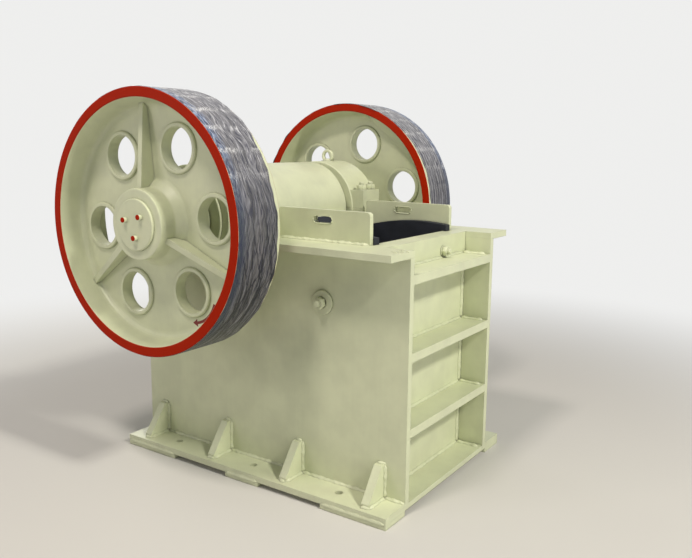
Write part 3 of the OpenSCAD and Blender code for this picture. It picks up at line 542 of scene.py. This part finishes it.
def enamel(name, wheel=False, cast=0.0):
    """Pale green enamel: tone that drifts with the spray, dust, painted shade and grime in the corners, chipped
    edges and, on a wheel, red rim faces."""
    material, g = start_material(name)
    c = colours()
    place = g.place()
    skin = g.use("Sprayed enamel", Place=place)
    wear = g.use("Edge wear", Place=place, Width=0.0045 if cast else 0.0035, Amount=0.0 if wheel else 0.25)
    dust = g.use("Shop dust", Place=place, Amount=0.16)
    tone = g.fit(skin["Tone"], 0.3, 0.7)
    p = tuple(c.paint)
    base = g.mix(tone, tuple(v * 0.94 for v in p), tuple(min(1.0, v * 1.04) for v in p))
    if cast:
        shade = g.fit(g.noise(place, 7.0, 6.0, 0.62), 0.45, 0.75)
        sandy = tuple(v * k for v, k in zip(p, (0.72, 0.72, 0.80)))
        base = g.mix(g.times(shade, 0.30), base, sandy)
    gloss = 0.45
    if wheel:
        red = rim_mask(g, place)
        gloss = g.fit(red, 0.0, 1.0, 0.45, 0.04)
        base = g.mix(red, base, tuple(c.rim))
        base = g.mix(arrow_mask(g, place), base, tuple(v * 0.45 for v in c.rim))
    base = g.mix(dust["Mask"], base, (0.42, 0.37, 0.29))
    # Painted shade: tight corners turn dark where little open air is seen, which also stands for grime there.
    base = g.mix(g.use("Corner grime", Reach=0.014, Amount=0.60)["Mask"], base, (0.16, 0.16, 0.11))
    base = g.mix(wear["Mask"], base, (0.20, 0.16, 0.12))
    height = skin["Height"]
    if cast:
        height = g.math("ADD", height, g.times(g.noise(place, 160.0, 4.0, 0.6), cast))
    bump = g.add("ShaderNodeBump", {"Height": height, "Normal": wear["Normal"],
                 "Strength": 0.35 if cast else 0.22, "Distance": 0.002})
    rough = g.math("ADD", g.times(dust["Mask"], 0.35), g.fit(skin["Tone"], 0.2, 0.8, 0.32, 0.48))
    end_material(g, {"Base Color": base, "Roughness": rough, "Normal": bump.outputs[0],
                     "Specular IOR Level": gloss})
    return material


def jaw_black(name):
    """Black primer on a manganese casting: sooty tone, grey rubbed ridges, sand grain."""
    material, g = start_material(name)
    place = g.place()
    wear = g.use("Edge wear", Place=place, Width=0.004, Amount=0.5)
    sand = g.noise(place, 220.0, 5.0, 0.65)
    soot = g.noise(place, 14.0, 4.0, 0.6)
    c = tuple(colours().primer)
    base = g.mix(g.fit(soot, 0.35, 0.7), c, tuple(v * 1.6 for v in c))
    base = g.mix(wear["Mask"], base, (0.07, 0.07, 0.08))
    bump = g.add("ShaderNodeBump", {"Height": sand, "Normal": wear["Normal"], "Strength": 0.5,
                 "Distance": 0.0015})
    end_material(g, {"Base Color": base, "Roughness": g.fit(soot, 0.3, 0.7, 0.55, 0.75),
                     "Normal": bump.outputs[0], "Specular IOR Level": 0.3})
    return material


def bare_steel(name):
    """Machined and oiled steel: turning marks as fine bump, brown film of oil in patches."""
    material, g = start_material(name)
    place = g.place()
    wear = g.use("Edge wear", Place=place)
    marks = g.noise(g.stretched(place, (40.0, 900.0, 40.0)), 1.0, 3.0, 0.6)
    patch = g.noise(place, 22.0, 5.0, 0.6)
    c = tuple(colours().steel)
    base = g.mix(g.fit(patch, 0.45, 0.7), c, (0.16, 0.12, 0.08))
    bump = g.add("ShaderNodeBump", {"Height": marks, "Normal": wear["Normal"], "Strength": 0.25,
                 "Distance": 0.0006})
    end_material(g, {"Base Color": base, "Metallic": 0.85, "Normal": bump.outputs[0],
                     "Roughness": g.fit(patch, 0.4, 0.75, 0.30, 0.55)})
    return material


def spring_red(name):
    """Red enamel on wire, with patches of dust."""
    material, g = start_material(name)
    place = g.place()
    patch = g.noise(place, 60.0, 4.0, 0.6)
    c = tuple(colours().rim)
    base = g.mix(g.fit(patch, 0.45, 0.75), c, tuple(v * 0.6 + 0.02 for v in c))
    bump = g.add("ShaderNodeBump", {"Height": patch, "Strength": 0.2, "Distance": 0.001})
    end_material(g, {"Base Color": base, "Roughness": g.fit(patch, 0.3, 0.7, 0.35, 0.5),
                     "Normal": bump.outputs[0]})
    return material


def stretch_film(name):
    """Layers of stretch film, torn and bluish beside the red rim, with painted shade in its creases and painted
    highlights on its folds. The UV map holds the angle round the wheel and the place across the rim. The
    attribute "fold" runs from 0 in a crease to 1 on a fold. Faces that look up are painted lighter, as lit from
    above, and on them painted highlights flash white, also in rows that lie across the rim."""
    material, g = start_material(name)
    uv = g.add("ShaderNodeUVMap", uv_map="wrap").outputs[0]
    fold = g.add("ShaderNodeAttribute", attribute_name="fold").outputs["Fac"]
    c = tuple(colours().film)
    turn, across = g.add("ShaderNodeSeparateXYZ", {0: uv}).outputs[:2]
    drift = g.math("SUBTRACT", g.noise(g.stretched(uv, (9.0, 7.0, 1.0)), 1.0, 2.0), 0.5)
    wandered = g.math("ADD", across, g.times(drift, 0.10))
    bent = g.add("ShaderNodeCombineXYZ", {0: turn, 1: wandered}).outputs[0]
    broad = g.noise(g.stretched(bent, (5.0, 9.0, 1.0)), 1.0, 3.0, 0.55)
    streak = g.noise(g.stretched(bent, (9.0, 80.0, 1.0)), 1.0, 5.0, 0.62)
    fine = g.noise(g.stretched(bent, (40.0, 420.0, 1.0)), 1.0, 4.0, 0.6)
    stroke = g.noise(g.stretched(bent, (34.0, 150.0, 1.0)), 1.0, 2.0, 0.5)
    glint = g.noise(g.stretched(uv, (160.0, 330.0, 1.0)), 1.0, 2.0, 0.6)
    torn = g.noise(g.stretched(uv, (60.0, 150.0, 1.0)), 1.0, 4.0, 0.6)
    # How far the film faces up: the mask of the painted light from above.
    lit_from_above = g.fit(g.up(), 0.05, 0.90)
    base = g.mix(g.fit(streak, 0.38, 0.62), tuple(v * 0.34 for v in c), tuple(v * 2.0 for v in c))
    base = g.mix(g.times(g.fit(broad, 0.45, 0.70), 0.35), base, (0.15, 0.135, 0.135))
    base = g.mix(g.times(g.fit(fine, 0.56, 0.70), 0.25), base, (0.26, 0.26, 0.29))
    # Painted light: the film is lighter where it faces up, as if lit from above.
    base = g.mix(g.times(lit_from_above, 0.34), base, (0.290, 0.290, 0.320))
    # Painted highlight: the folds of the relief are painted paler.
    base = g.mix(g.times(g.fit(fold, 0.62, 0.90), 0.60), base, (0.34, 0.34, 0.37))
    base = g.mix(g.times(g.fit(stroke, 0.47, 0.37), 0.85), base, (0.020, 0.022, 0.045))
    # Painted shade: the creases of the relief are painted dark, less so where the film faces up.
    crease_shade = g.times(g.fit(fold, 0.42, 0.16), g.fit(lit_from_above, 0.0, 1.0, 0.97, 0.35))
    base = g.mix(crease_shade, base, (0.006, 0.007, 0.020))
    beside = g.fit(g.math("ABSOLUTE", across), FILM_OUT - 0.062, FILM_OUT - 0.014)
    # The torn bluish film beside the rim, painted paler where it faces up as light from above.
    pale = g.mix(lit_from_above, (0.030, 0.045, 0.065), (0.240, 0.330, 0.540))
    scrap = g.mix(g.fit(torn, 0.45, 0.58), (0.008, 0.014, 0.055), pale)
    base = g.mix(g.times(beside, 0.85), base, scrap)
    # Painted highlight: white flashes on the strokes where the film faces up.
    flash_highlight = g.times(g.fit(stroke, 0.55, 0.66), g.times(lit_from_above, 0.70))
    base = g.mix(flash_highlight, base, (0.66, 0.67, 0.72))
    # Painted reflection: rows of white glints across the rim, 32 to a turn, as of lamps on the film where it faces
    # up.
    wave = g.times(g.noise(g.stretched(uv, (6.0, 40.0, 1.0)), 1.0, 2.0), 2.4)
    phase = g.math("ADD", g.times(turn, 32 * math.pi), g.math("SUBTRACT", wave, 1.2))
    patches = g.fit(broad, 0.36, 0.60, 0.15, 1.0)
    rows = g.times(g.fit(g.math("COSINE", phase), 0.62, 1.0), patches)
    glint_highlight = g.times(g.fit(glint, 0.46, 0.60), g.times(rows, lit_from_above))
    base = g.mix(glint_highlight, base, (0.90, 0.91, 0.94))
    height = g.math("ADD", g.times(streak, 0.6), g.times(fine, 0.4))
    bump = g.add("ShaderNodeBump", {"Height": height, "Strength": 0.8, "Distance": 0.004})
    end_material(g, {"Base Color": base, "Roughness": g.fit(broad, 0.3, 0.7, 0.28, 0.46),
                     "Normal": bump.outputs[0], "Coat Weight": 0.12, "Coat Roughness": 0.18})
    return material


def finish_of(kind):
    """The material of that kind, made on first use."""
    makers = {
        "frame_paint": lambda: enamel("frame_paint"),
        "casting_paint": lambda: enamel("casting_paint", cast=0.5),
        "wheel_paint": lambda: enamel("wheel_paint", wheel=True, cast=0.5),
        "manganese_steel": lambda: jaw_black("manganese_steel"),
        "machined_steel": lambda: bare_steel("machined_steel"),
        "spring_paint": lambda: spring_red("spring_paint"),
        "wrap_film": lambda: stretch_film("wrap_film"),
    }
    if kind not in MATERIALS:
        MATERIALS[kind] = makers[kind]()
    return MATERIALS[kind]


# Pieces

class CRUSHER_OT_finishes(bpy.types.Operator):
    """Paint every node of the frame with the finish of its slot"""

    bl_idname = "crusher.finishes"
    bl_label = "Paint the frame"

    def execute(self, context):
        own = {"flywheel": "wheel_paint", "grooved_pulley": "wheel_paint", "hub_caps": "wheel_paint"}
        same = {"fasteners": "frame_paint"}
        for part in frame["record"]["subparts"]:
            name, slot = part["node"], part["material_slot"]
            kind = own.get(name, same.get(slot, slot))
            mesh = NODES[name].data
            mesh.materials.clear()
            mesh.materials.append(finish_of(kind))
        return {"FINISHED"}


def weld_bead(start, end, side_a, side_b):
    """Fillet weld from start to end in the corner of two plates. Across the bead the point is
    leg (a cos t + b sin t) with t from 0 to 90 degrees, lower in the middle, and the leg swells by ripples.
    Towards both ends the section shrinks to a point, which closes the bead."""
    s = sizes()
    start, end = np.asarray(start, float), np.asarray(end, float)
    a, b = np.asarray(side_a, float), np.asarray(side_b, float)
    length = np.linalg.norm(end - start)
    steps = max(8, int(length / s.ripple * 3))
    run = np.linspace(0, 1, steps)[:, None]
    t = np.radians([0, 22, 45, 68, 90])[None, :]
    phase = run * length / s.ripple
    full = np.sqrt(np.clip(np.minimum(run, 1 - run) * length / 0.014, 0, 1))
    uneven = 0.13 * np.sin(phase * 0.71 + length * 9) + 0.10 * np.sin(phase * 1.83 + length * 31)
    leg = s.weld * full * (0.92 + 0.16 * np.abs((phase % 1) * 2 - 1) + uneven)
    bulge = 1 - 0.16 * np.sin(2 * t) + 0.06 * np.sin(phase * 2.3 + 3 * t)
    across = (leg * bulge * np.cos(t))[..., None] * a + (leg * bulge * np.sin(t))[..., None] * b
    rows = start + run[..., None] * (end - start) + across
    heel = (start + run[..., None] * (end - start)) - 0.001 * full[..., None] * (a + b)
    return grid(np.concatenate([rows, heel], 1), wrap_v=True)


def shelf_welds(name, wall_x, out):
    """Beads of the cross ribs at one end of the frame: along the end wall, and to both side plates."""
    inner = BOX["side_plate_far"][0][1]
    beads, shelves = [], sorted(solids_of(name), key=lambda box: box[0][2])
    for low, high in shelves:
        tip = high[0] if out > 0 else low[0]
        for z, way in ((high[2], (0, 0, 1)), (low[2], (0, 0, -1))):
            if z < BOX["base_plate_near"][1][2] - 0.02:
                continue
            beads.append(weld_bead((wall_x, -inner, z), (wall_x, inner, z), (out, 0, 0), way))
            for side in (-1, 1):
                beads.append(weld_bead((wall_x, side * inner, z), (tip - out * 0.012, side * inner, z),
                                       (0, -side, 0), way))
    for (_, below), (above, _) in zip(shelves[:-1], shelves[1:]):
        for side in (-1, 1):
            beads.append(weld_bead((wall_x, side * inner, below[2]), (wall_x, side * inner, above[2]),
                                   (out, 0, 0), (0, -side, 0)))
    return beads


def gusset_welds():
    """Beads on both sides of each base gusset, up the side plate and out along the base plate, with a blob
    at the toe and at the top where the welder stopped."""
    beads, ends = [], []
    plate = BOX["side_plate_far"][1][1]
    for low, high in solids_of("base_gussets"):
        side = 1 if low[1] > 0 else -1
        toe = side * max(abs(low[1]), abs(high[1]))
        for x, way in ((low[0], (-1, 0, 0)), (high[0], (1, 0, 0))):
            foot = (x, side * plate, low[2])
            beads.append(weld_bead(foot, (x, side * plate, high[2]), (0, side, 0), way))
            beads.append(weld_bead(foot, (x, toe, low[2]), (0, 0, 1), way))
        ends += [((low[0] + high[0]) / 2, toe, low[2], (high[0] - low[0]) * 0.55, 0.011),
                 ((low[0] + high[0]) / 2, side * plate, high[2], (high[0] - low[0]) * 0.52, 0.010)]
    return beads, ends


def blobs(places, seed):
    """Lumps of weld metal: a ball of radius r(a, t) = size (1 + waves) at each place, wide along X."""
    random = np.random.default_rng(seed)
    a = np.linspace(0, 2 * np.pi, 18, endpoint=False)[None, :]
    t = np.linspace(0, np.pi, 10)[:, None]
    parts = []
    for x, y, z, wide, size in places:
        shift = random.uniform(0, 6.28, 3)
        r = 1 + (0.16 * np.sin(3 * a + shift[0]) + 0.12 * np.sin(5 * a + 2 * t + shift[1])) * np.sin(t)
        points = np.stack([x + wide * r * np.sin(t) * np.cos(a), y + size * r * np.sin(t) * np.sin(a),
                           z + size * r * np.cos(t) * np.ones_like(a)], -1)
        parts.append(grid(points, wrap_v=True))
    return joined(parts)


class CRUSHER_OT_welds(bpy.types.Operator):
    """Run fillet welds along the joints of the welded frame"""

    bl_idname = "crusher.welds"
    bl_label = "Weld the frame"

    def execute(self, context):
        beads = []
        flange_low, flange_top = BOX["top_flange_near"][0][2], BOX["top_flange_near"][1][2]
        base_top = BOX["base_plate_near"][1][2]
        (rear, _, _), (front, plate, _) = BOX["side_plate_far"]
        guard_rear, guard_front = BOX["hopper_plate_far"][0][0], BOX["hopper_plate_far"][1][0]
        guard_face = BOX["hopper_plate_far"][1][1]
        foot = solids_of("bearing_seat_far")[0]
        for side in (-1, 1):
            face = side * plate
            out, up, down = (0, side, 0), (0, 0, 1), (0, 0, -1)
            beads.append(weld_bead((rear, face, base_top), (front, face, base_top), out, up))
            cut = math.sqrt(HOUSING_R ** 2 - (SHAFT[2] - flange_low) ** 2) + 0.01
            for x, end in ((rear, SHAFT[0] - cut), (SHAFT[0] + cut, front)):
                beads.append(weld_bead((x, face, flange_low), (end, face, flange_low), out, down))
            beads.append(weld_bead((guard_rear, side * guard_face, flange_top),
                                   (guard_front, side * guard_face, flange_top), out, up))
            for x, way in ((foot[0][0], (-1, 0, 0)), (foot[1][0], (1, 0, 0))):
                beads.append(weld_bead((x, side * (foot[0][1] + 0.01), flange_top),
                                       (x, side * (foot[0][1] + 0.15), flange_top), way, up))
        beads += shelf_welds("front_ribs", BOX["front_wall"][1][0], 1)
        beads += shelf_welds("rear_ribs", BOX["rear_wall"][0][0], -1)
        for low, high in solids_of("levelling_pads"):
            edge = high[1] if high[1] > 0 else low[1]
            for way in ((0, 0, 1), (0, 0, -1)):
                beads.append(weld_bead((low[0] + 0.004, edge, high[2]), (high[0] - 0.004, edge, high[2]),
                                       (0, 0.4 * np.sign(edge), 0), way))
        gussets, ends = gusset_welds()
        new_piece("frame_welds", joined(beads + gussets), "frame", "frame_paint", 70)
        random = np.random.default_rng(5)
        spatter = [(front - 0.003 - 0.052 * random.random(), 0.021 - plate - 0.10 * random.random(),
                    flange_top, random.uniform(0.002, 0.008), random.uniform(0.0015, 0.0045))
                   for _ in range(26)]
        new_piece("weld_blobs", blobs(ends + spatter, 3), "frame", "frame_paint", 70)
        return {"FINISHED"}


class CRUSHER_OT_fasteners(bpy.types.Operator):
    """Make the studs, the bolts and their nuts with real threads"""

    bl_idname = "crusher.fasteners"
    bl_label = "Fit the fasteners"

    def execute(self, context):
        random = np.random.default_rng(8)
        studs = solids_of("bearing_studs")
        stud_r = (studs[0][1][0] - studs[0][0][0]) / 2 / 1.9
        seat = studs[0][1][2] - 2.6 * stud_r - 0.005
        self.fit("bearing_studs", [bolt(low, high, (0, 0, 1), stud_r, seat, 1.9 * stud_r, 0.005,
                                        turn=random.uniform(0, 1)) for low, high in studs])
        jaw_r, cheek_r = JAW_BOLT_R, CHEEK_BOLT_R
        wall = BOX["front_wall"][1][0]
        self.fit("jaw_bolts", [bolt(low, high, (1, 0, 0), jaw_r, wall, 2 * jaw_r, 0.005,
                                    head=(2 * jaw_r, 1.2 * jaw_r), turn=random.uniform(0, 1))
                               for low, high in solids_of("jaw_bolts")])
        plate = BOX["side_plate_far"][1][1]
        liner = BOX["cheek_liner_far"]
        washer = (BOX["cheek_bolts"][1][0] - BOX["cheek_bolts"][0][0]) / 2
        head = (2 * cheek_r, (liner[1][1] - liner[0][1]) / 2 - 0.004)
        bolts = []
        for low, high in solids_of("cheek_bolts"):
            side = 1 if low[1] > 0 else -1
            bolts.append(bolt(low, high, (0, side, 0), cheek_r, side * plate, washer, 0.012, head=head,
                              turn=random.uniform(0, 1)))
        self.fit("cheek_bolts", bolts)
        return {"FINISHED"}

    def fit(self, node, parts):
        """One piece of these bolts in place of the plain ones of the frame."""
        piece = new_piece(node + "_threaded", joined(parts), "frame", "frame_paint", 35)
        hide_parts(node)


class CRUSHER_OT_lifting_eyes(bpy.types.Operator):
    """Forge the lifting eyes: a ring on a flared foot"""

    bl_idname = "crusher.lifting_eyes"
    bl_label = "Fit the lifting eyes"

    def execute(self, context):
        parts = []
        for low, high in solids_of("lifting_eyes"):
            middle = (low + high) / 2
            outer = (high[0] - low[0]) / 2
            centre = (middle[0], middle[1], high[2] - outer)
            thick = (outer - EYE_HOLE_R) / 2
            parts.append(ring(centre, (0, 1, 0), outer - thick, thick, outer / 4))
            t = np.linspace(0, 1, 12)
            flare = (0.95 - 0.55 * np.sin(t * np.pi / 2) ** 0.7) * outer
            rise = 0.30 * outer * t ** 1.6
            rows = [(0, 0), *zip(flare, rise), (0, rise[-1])]
            parts.append(revolved(rows, (middle[0], middle[1], low[2]), (0, 0, 1)))
        piece = new_piece("forged_eyes", joined(parts), "frame", "casting_paint", 60)
        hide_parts("lifting_eyes")
        return {"FINISHED"}


class CRUSHER_OT_slot_burrs(bpy.types.Operator):
    """Leave the burr of the torch round both hand slots, inside and outside"""

    bl_idname = "crusher.slot_burrs"
    bl_label = "Cut the hand slots"

    def execute(self, context):
        parts = []
        for side, name in ((-1, "near"), (1, "far")):
            low, high = OPENING["hand_slot_" + name]
            middle = (low + high) / 2
            plate = BOX["hopper_plate_" + name]
            a = np.linspace(0, 2 * np.pi, 160, endpoint=False)
            half = (high[2] - low[2]) / 2 + 0.001
            length = (high[0] - low[0]) / 2 + 0.009 - half
            x = middle[0] + half * np.cos(a) + length * np.sign(np.cos(a))
            z = middle[2] + half * np.sin(a)
            rough = 1 + 0.35 * np.sin(7 * a + side) + 0.25 * np.sin(23 * a) + 0.15 * np.sin(41 * a)
            for y in (plate[0][1], plate[1][1]):
                path = np.stack([x, np.full_like(x, y), z], 1)
                parts.append(tube(path, sizes().burr * rough))
        new_piece("slot_burrs", joined(parts), "frame", "frame_paint", 70)
        return {"FINISHED"}


def folds(a, y, random, low, high, sharp):
    """Thin lines, from 0 to 1, that run round the wheel and drift across it. Each of the twelve terms is
    (1 - |sin(k y + m a + wander)|) to the power sharp, and fades in and out. k lies between low and high, and
    m is whole, so the sheet closes on itself."""
    total = np.zeros(np.broadcast(a, y).shape)
    for _ in range(12):
        k = random.uniform(low, high)
        m = random.integers(-7, 8)
        drift = random.integers(1, 6)
        shift = random.uniform(0, 2 * np.pi)
        wander = 1.4 * np.sin(drift * a + shift) + 0.5 * np.sin(3 * drift * a + 2 * shift)
        swell = np.sin(random.integers(1, 6) * a + random.uniform(0, 2 * np.pi) + 12 * y)
        fade = np.clip(0.4 + 0.9 * swell, 0, 1)
        total += fade * (1 - np.abs(np.sin(k * y + m * a + wander + shift))) ** sharp
    return np.clip(total / np.quantile(total, 0.985), 0, 1)


def wrap_relief(a, y, seed, grooves):
    """Height of the film over the rim: one half, plus its folds, minus its creases, which are deeper below,
    where the film hangs slack. Over a grooved rim the film also sinks a little between the lands."""
    random = np.random.default_rng(seed)
    slack = 0.7 - 0.4 * np.sin(a)
    crease = np.clip(1.5 * slack * folds(a, y, random, 28, 90, 7), 0, 1)
    height = 0.5 + 0.5 * folds(a, y, random, 70, 420, 3) * (1 - crease) - 0.5 * crease
    if grooves:
        first, pitch = grooves
        land = 0.5 - 0.5 * np.cos(2 * np.pi * (y - first) / pitch)
        height = 0.4 * height + 0.6 * land ** 0.7
    return height


class CRUSHER_OT_film(bpy.types.Operator):
    """Wrap wrinkled stretch film round both rims"""

    bl_idname = "crusher.film"
    bl_label = "Wrap the wheels"

    def execute(self, context):
        self.wrap("film_near", -1, 11, None)
        self.wrap("film_far", 1, 23, ((RIM_IN + RIM_OUT + GROOVE_PITCH) / 2, GROOVE_PITCH))
        return {"FINISHED"}

    def wrap(self, name, side, seed, grooves):
        """The wrap of one wheel: at angle a and place y across the rim, the radius is the wheel's plus the
        height of the folds, and two rows close the sheet under it. Its edges are ragged, and its inner edge
        leaves a strip of rim bare towards the front. grooves holds the place of a land and the pitch."""
        around, across = 660, 140
        a = np.linspace(0, 2 * np.pi, around, endpoint=False)[:, None]
        middle, half_turn = 0.17, np.pi / 5.2
        off = np.clip(np.angle(np.exp(1j * (a - middle))) / half_turn, -1, 1)
        bare = 0.002 + 0.020 * np.cos(off * np.pi / 2)
        ragged = 0.004 * np.sin(5 * a + seed) + 0.003 * np.sin(17 * a + 2 * seed) + 0.002 * np.sin(41 * a)
        low = RIM_IN + bare + ragged
        high = FILM_OUT - 0.0005 - 0.25 * np.abs(np.roll(ragged, 90, 0))
        v = np.linspace(0, 1, across)[None, :]
        y = low + (high - low) * v
        fold = wrap_relief(a, y, seed, grooves)
        skin = 0.0004 + sizes().wrinkle * fold * np.clip(np.minimum(v, 1 - v) * 30, 0.2, 1)
        r = np.minimum(WHEEL_R + 0.0003 + skin, FILM_R + 0.0012)
        r = np.concatenate([r, np.full((around, 2), WHEEL_R + 0.0001)], 1)
        y = np.concatenate([y, high, low], 1)
        fold = np.concatenate([fold, np.full((around, 2), 0.5)], 1)
        points = np.stack([SHAFT[0] + r * np.cos(a), side * y, SHAFT[2] + r * np.sin(a)], -1)
        piece = new_piece(name, grid(points, wrap_u=True, wrap_v=True), "rotor", "wrap_film", 80)
        piece.data.attributes.new("fold", "FLOAT", "POINT").data.foreach_set("value", fold.ravel())
        wrap_map(piece)
        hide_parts("wheel_films")


def wrap_map(piece):
    """UV map of a wrapped piece: the angle round the shaft in turns times two, and the distance across."""
    mesh = piece.data
    points = points_of(mesh)
    corner = np.empty(len(mesh.loops), int)
    mesh.loops.foreach_get("vertex_index", corner)
    turn = np.arctan2(points[:, 2] - SHAFT[2], points[:, 0] - SHAFT[0]) / np.pi
    u = turn[corner].reshape(-1, 4)
    u = np.where(u.max(1, keepdims=True) - u > 1, u + 2, u)
    uv = np.stack([u.reshape(-1), points[corner, 1]], 1)
    mesh.uv_layers.new(name="wrap").data.foreach_set("uv", uv.ravel())


def photo_view():
    """Camera of the photo: place, turn, tilt and roll found from the plate edges and both rims."""
    place = (2.209, -2.927, 1.515)
    turn, tilt, roll = math.radians(34.259), math.radians(-9.467), math.radians(0.568)
    forward = np.array([-math.sin(turn) * math.cos(tilt), math.cos(turn) * math.cos(tilt), math.sin(tilt)])
    right = np.array([math.cos(turn), math.sin(turn), 0.0])
    up = np.cross(right, forward)
    across = math.cos(roll) * right + math.sin(roll) * up
    upright = math.cos(roll) * up - math.sin(roll) * right
    matrix = Matrix.Identity(4)
    for row in range(3):
        for column, axis in enumerate((across, upright, -forward)):
            matrix[row][column] = axis[row]
        matrix[row][3] = place[row]
    data = bpy.data.cameras.new("camera")
    data.lens, data.sensor_width = 39.18, 36.0
    data.shift_y = -0.0161
    camera = placed("camera", data)
    camera.matrix_world = matrix
    bpy.context.scene.camera = camera


def lamp(name, place, target, size, power, colour):
    """A square area lamp at a place, turned to the target. Its power is in watts."""
    data = bpy.data.lights.new(name, "AREA")
    data.shape, data.size, data.energy, data.color = "SQUARE", size, power, colour
    aim = Matrix(along(np.subtract(place, target)).tolist()).transposed().to_4x4()
    aim.translation = place
    placed(name, data).matrix_world = aim


def floor_material():
    """Pale floor that takes the shadow near the machine and fades to the bright background far off."""
    material, g = start_material("stage_floor")
    away = g.add("ShaderNodeVectorMath", {0: g.place()}, operation="LENGTH").outputs["Value"]
    fade = g.fit(away, 1.6, 4.8)
    plain = g.add("ShaderNodeBsdfDiffuse", {"Color": (*colours().floor, 1.0)})
    glow = g.add("ShaderNodeEmission", {"Color": (0.86, 0.86, 0.85, 1.0), "Strength": 1.0})
    mix = g.add("ShaderNodeMixShader", {0: g.times(fade, g.seen()), 1: plain.outputs[0],
                                        2: glow.outputs[0]})
    g.tree.links.new(mix.outputs[0], g.add("ShaderNodeOutputMaterial").inputs["Surface"])
    return material


class CRUSHER_OT_stage(bpy.types.Operator):
    """Set the floor, the lamps, the background and the camera"""

    bl_idname = "crusher.stage"
    bl_label = "Set the stage"

    def execute(self, context):
        scene = context.scene
        scene.view_settings.view_transform = "Standard"
        reach = np.array([-FLOOR_REACH, FLOOR_REACH])
        ground = np.stack([*np.meshgrid(reach, reach, indexing="ij"), np.zeros((2, 2))], -1)
        points, faces = grid(ground)
        mesh = bpy.data.meshes.new("stage_floor")
        mesh.from_pydata(points, [], faces.tolist())
        mesh.materials.append(floor_material())
        floor = placed("stage_floor", mesh)
        world = bpy.data.worlds.new("studio")
        scene.world = world
        world.use_nodes = True
        g = Graph(world.node_tree)
        world.node_tree.nodes.clear()
        seen = g.seen()
        soft = g.add("ShaderNodeBackground", {"Color": (0.95, 0.97, 1.0, 1.0), "Strength": 0.20})
        bright = g.add("ShaderNodeBackground", {"Color": (0.86, 0.86, 0.85, 1.0), "Strength": 1.0})
        mix = g.add("ShaderNodeMixShader", {0: seen, 1: soft.outputs[0], 2: bright.outputs[0]})
        g.tree.links.new(mix.outputs[0], g.add("ShaderNodeOutputWorld").inputs["Surface"])
        warm = (1.0, 0.958, 0.85)
        side = (1.0, 0.905, 0.825)
        lamp("near_lamp", (0.2, -3.1, 6.0), (0, -0.4, 0.6), 0.8, 138, side)
        lamp("fill_lamp", (-3.4, -5.4, 2.2), (0, -0.4, 0.5), 1.8, 58, side)
        lamp("roof_lamp", (-0.6, -1.8, 7.0), (0, -0.8, 0), 3.0, 24, warm)
        lamp("front_lamp", (5.0, -1.0, 0.5), (0.8, 0, 0.1), 0.5, 28, warm)
        lamp("high_lamp", (6.3, -1.0, 6.2), (0.8, 0, 0.2), 0.75, 450, warm)
        lamp("low_lamp", (4.4, -3.2, 0.5), (0.4, -0.3, 0.1), 2.0, 16, warm)
        lamp("rear_lamp", (-5.0, 2.0, 2.4), (0, 0, 0.7), 2.5, 80, warm)
        photo_view()
        return {"FINISHED"}


class CRUSHER_PT_parts(bpy.types.Panel):
    """Lists the pieces of the crusher and their sizes and colours"""

    bl_label = "Jaw crusher"
    bl_idname = "CRUSHER_PT_parts"
    bl_space_type = "VIEW_3D"
    bl_region_type = "UI"
    bl_category = "Crusher"

    def draw(self, context):
        for operator in OPERATORS:
            self.layout.operator(operator.bl_idname)
        for values in (context.scene.crusher_sizes, context.scene.crusher_colours):
            for name in values.bl_rna.properties.keys():
                if name not in {"rna_type", "name"}:
                    self.layout.prop(values, name)


OPERATORS = [CRUSHER_OT_stage, CRUSHER_OT_finishes, CRUSHER_OT_welds, CRUSHER_OT_fasteners,
             CRUSHER_OT_lifting_eyes, CRUSHER_OT_slot_burrs, CRUSHER_OT_film]
CLASSES = [CrusherSizes, CrusherColours, *OPERATORS, CRUSHER_PT_parts]


def register():
    """Adds the classes, the sizes and the colours to Blender."""
    for item in CLASSES:
        bpy.utils.register_class(item)
    bpy.types.Scene.crusher_sizes = PointerProperty(type=CrusherSizes)
    bpy.types.Scene.crusher_colours = PointerProperty(type=CrusherColours)


def unregister():
    """Takes them out again."""
    del bpy.types.Scene.crusher_sizes
    del bpy.types.Scene.crusher_colours
    for item in reversed(CLASSES):
        bpy.utils.unregister_class(item)


def main():
    register()
    bpy.ops.crusher.stage()
    bpy.ops.crusher.finishes()
    bpy.ops.crusher.welds()
    bpy.ops.crusher.fasteners()
    bpy.ops.crusher.lifting_eyes()
    bpy.ops.crusher.slot_burrs()
    bpy.ops.crusher.film()
    bpy.context.view_layer.update()


if __name__ == "__main__":
    main()
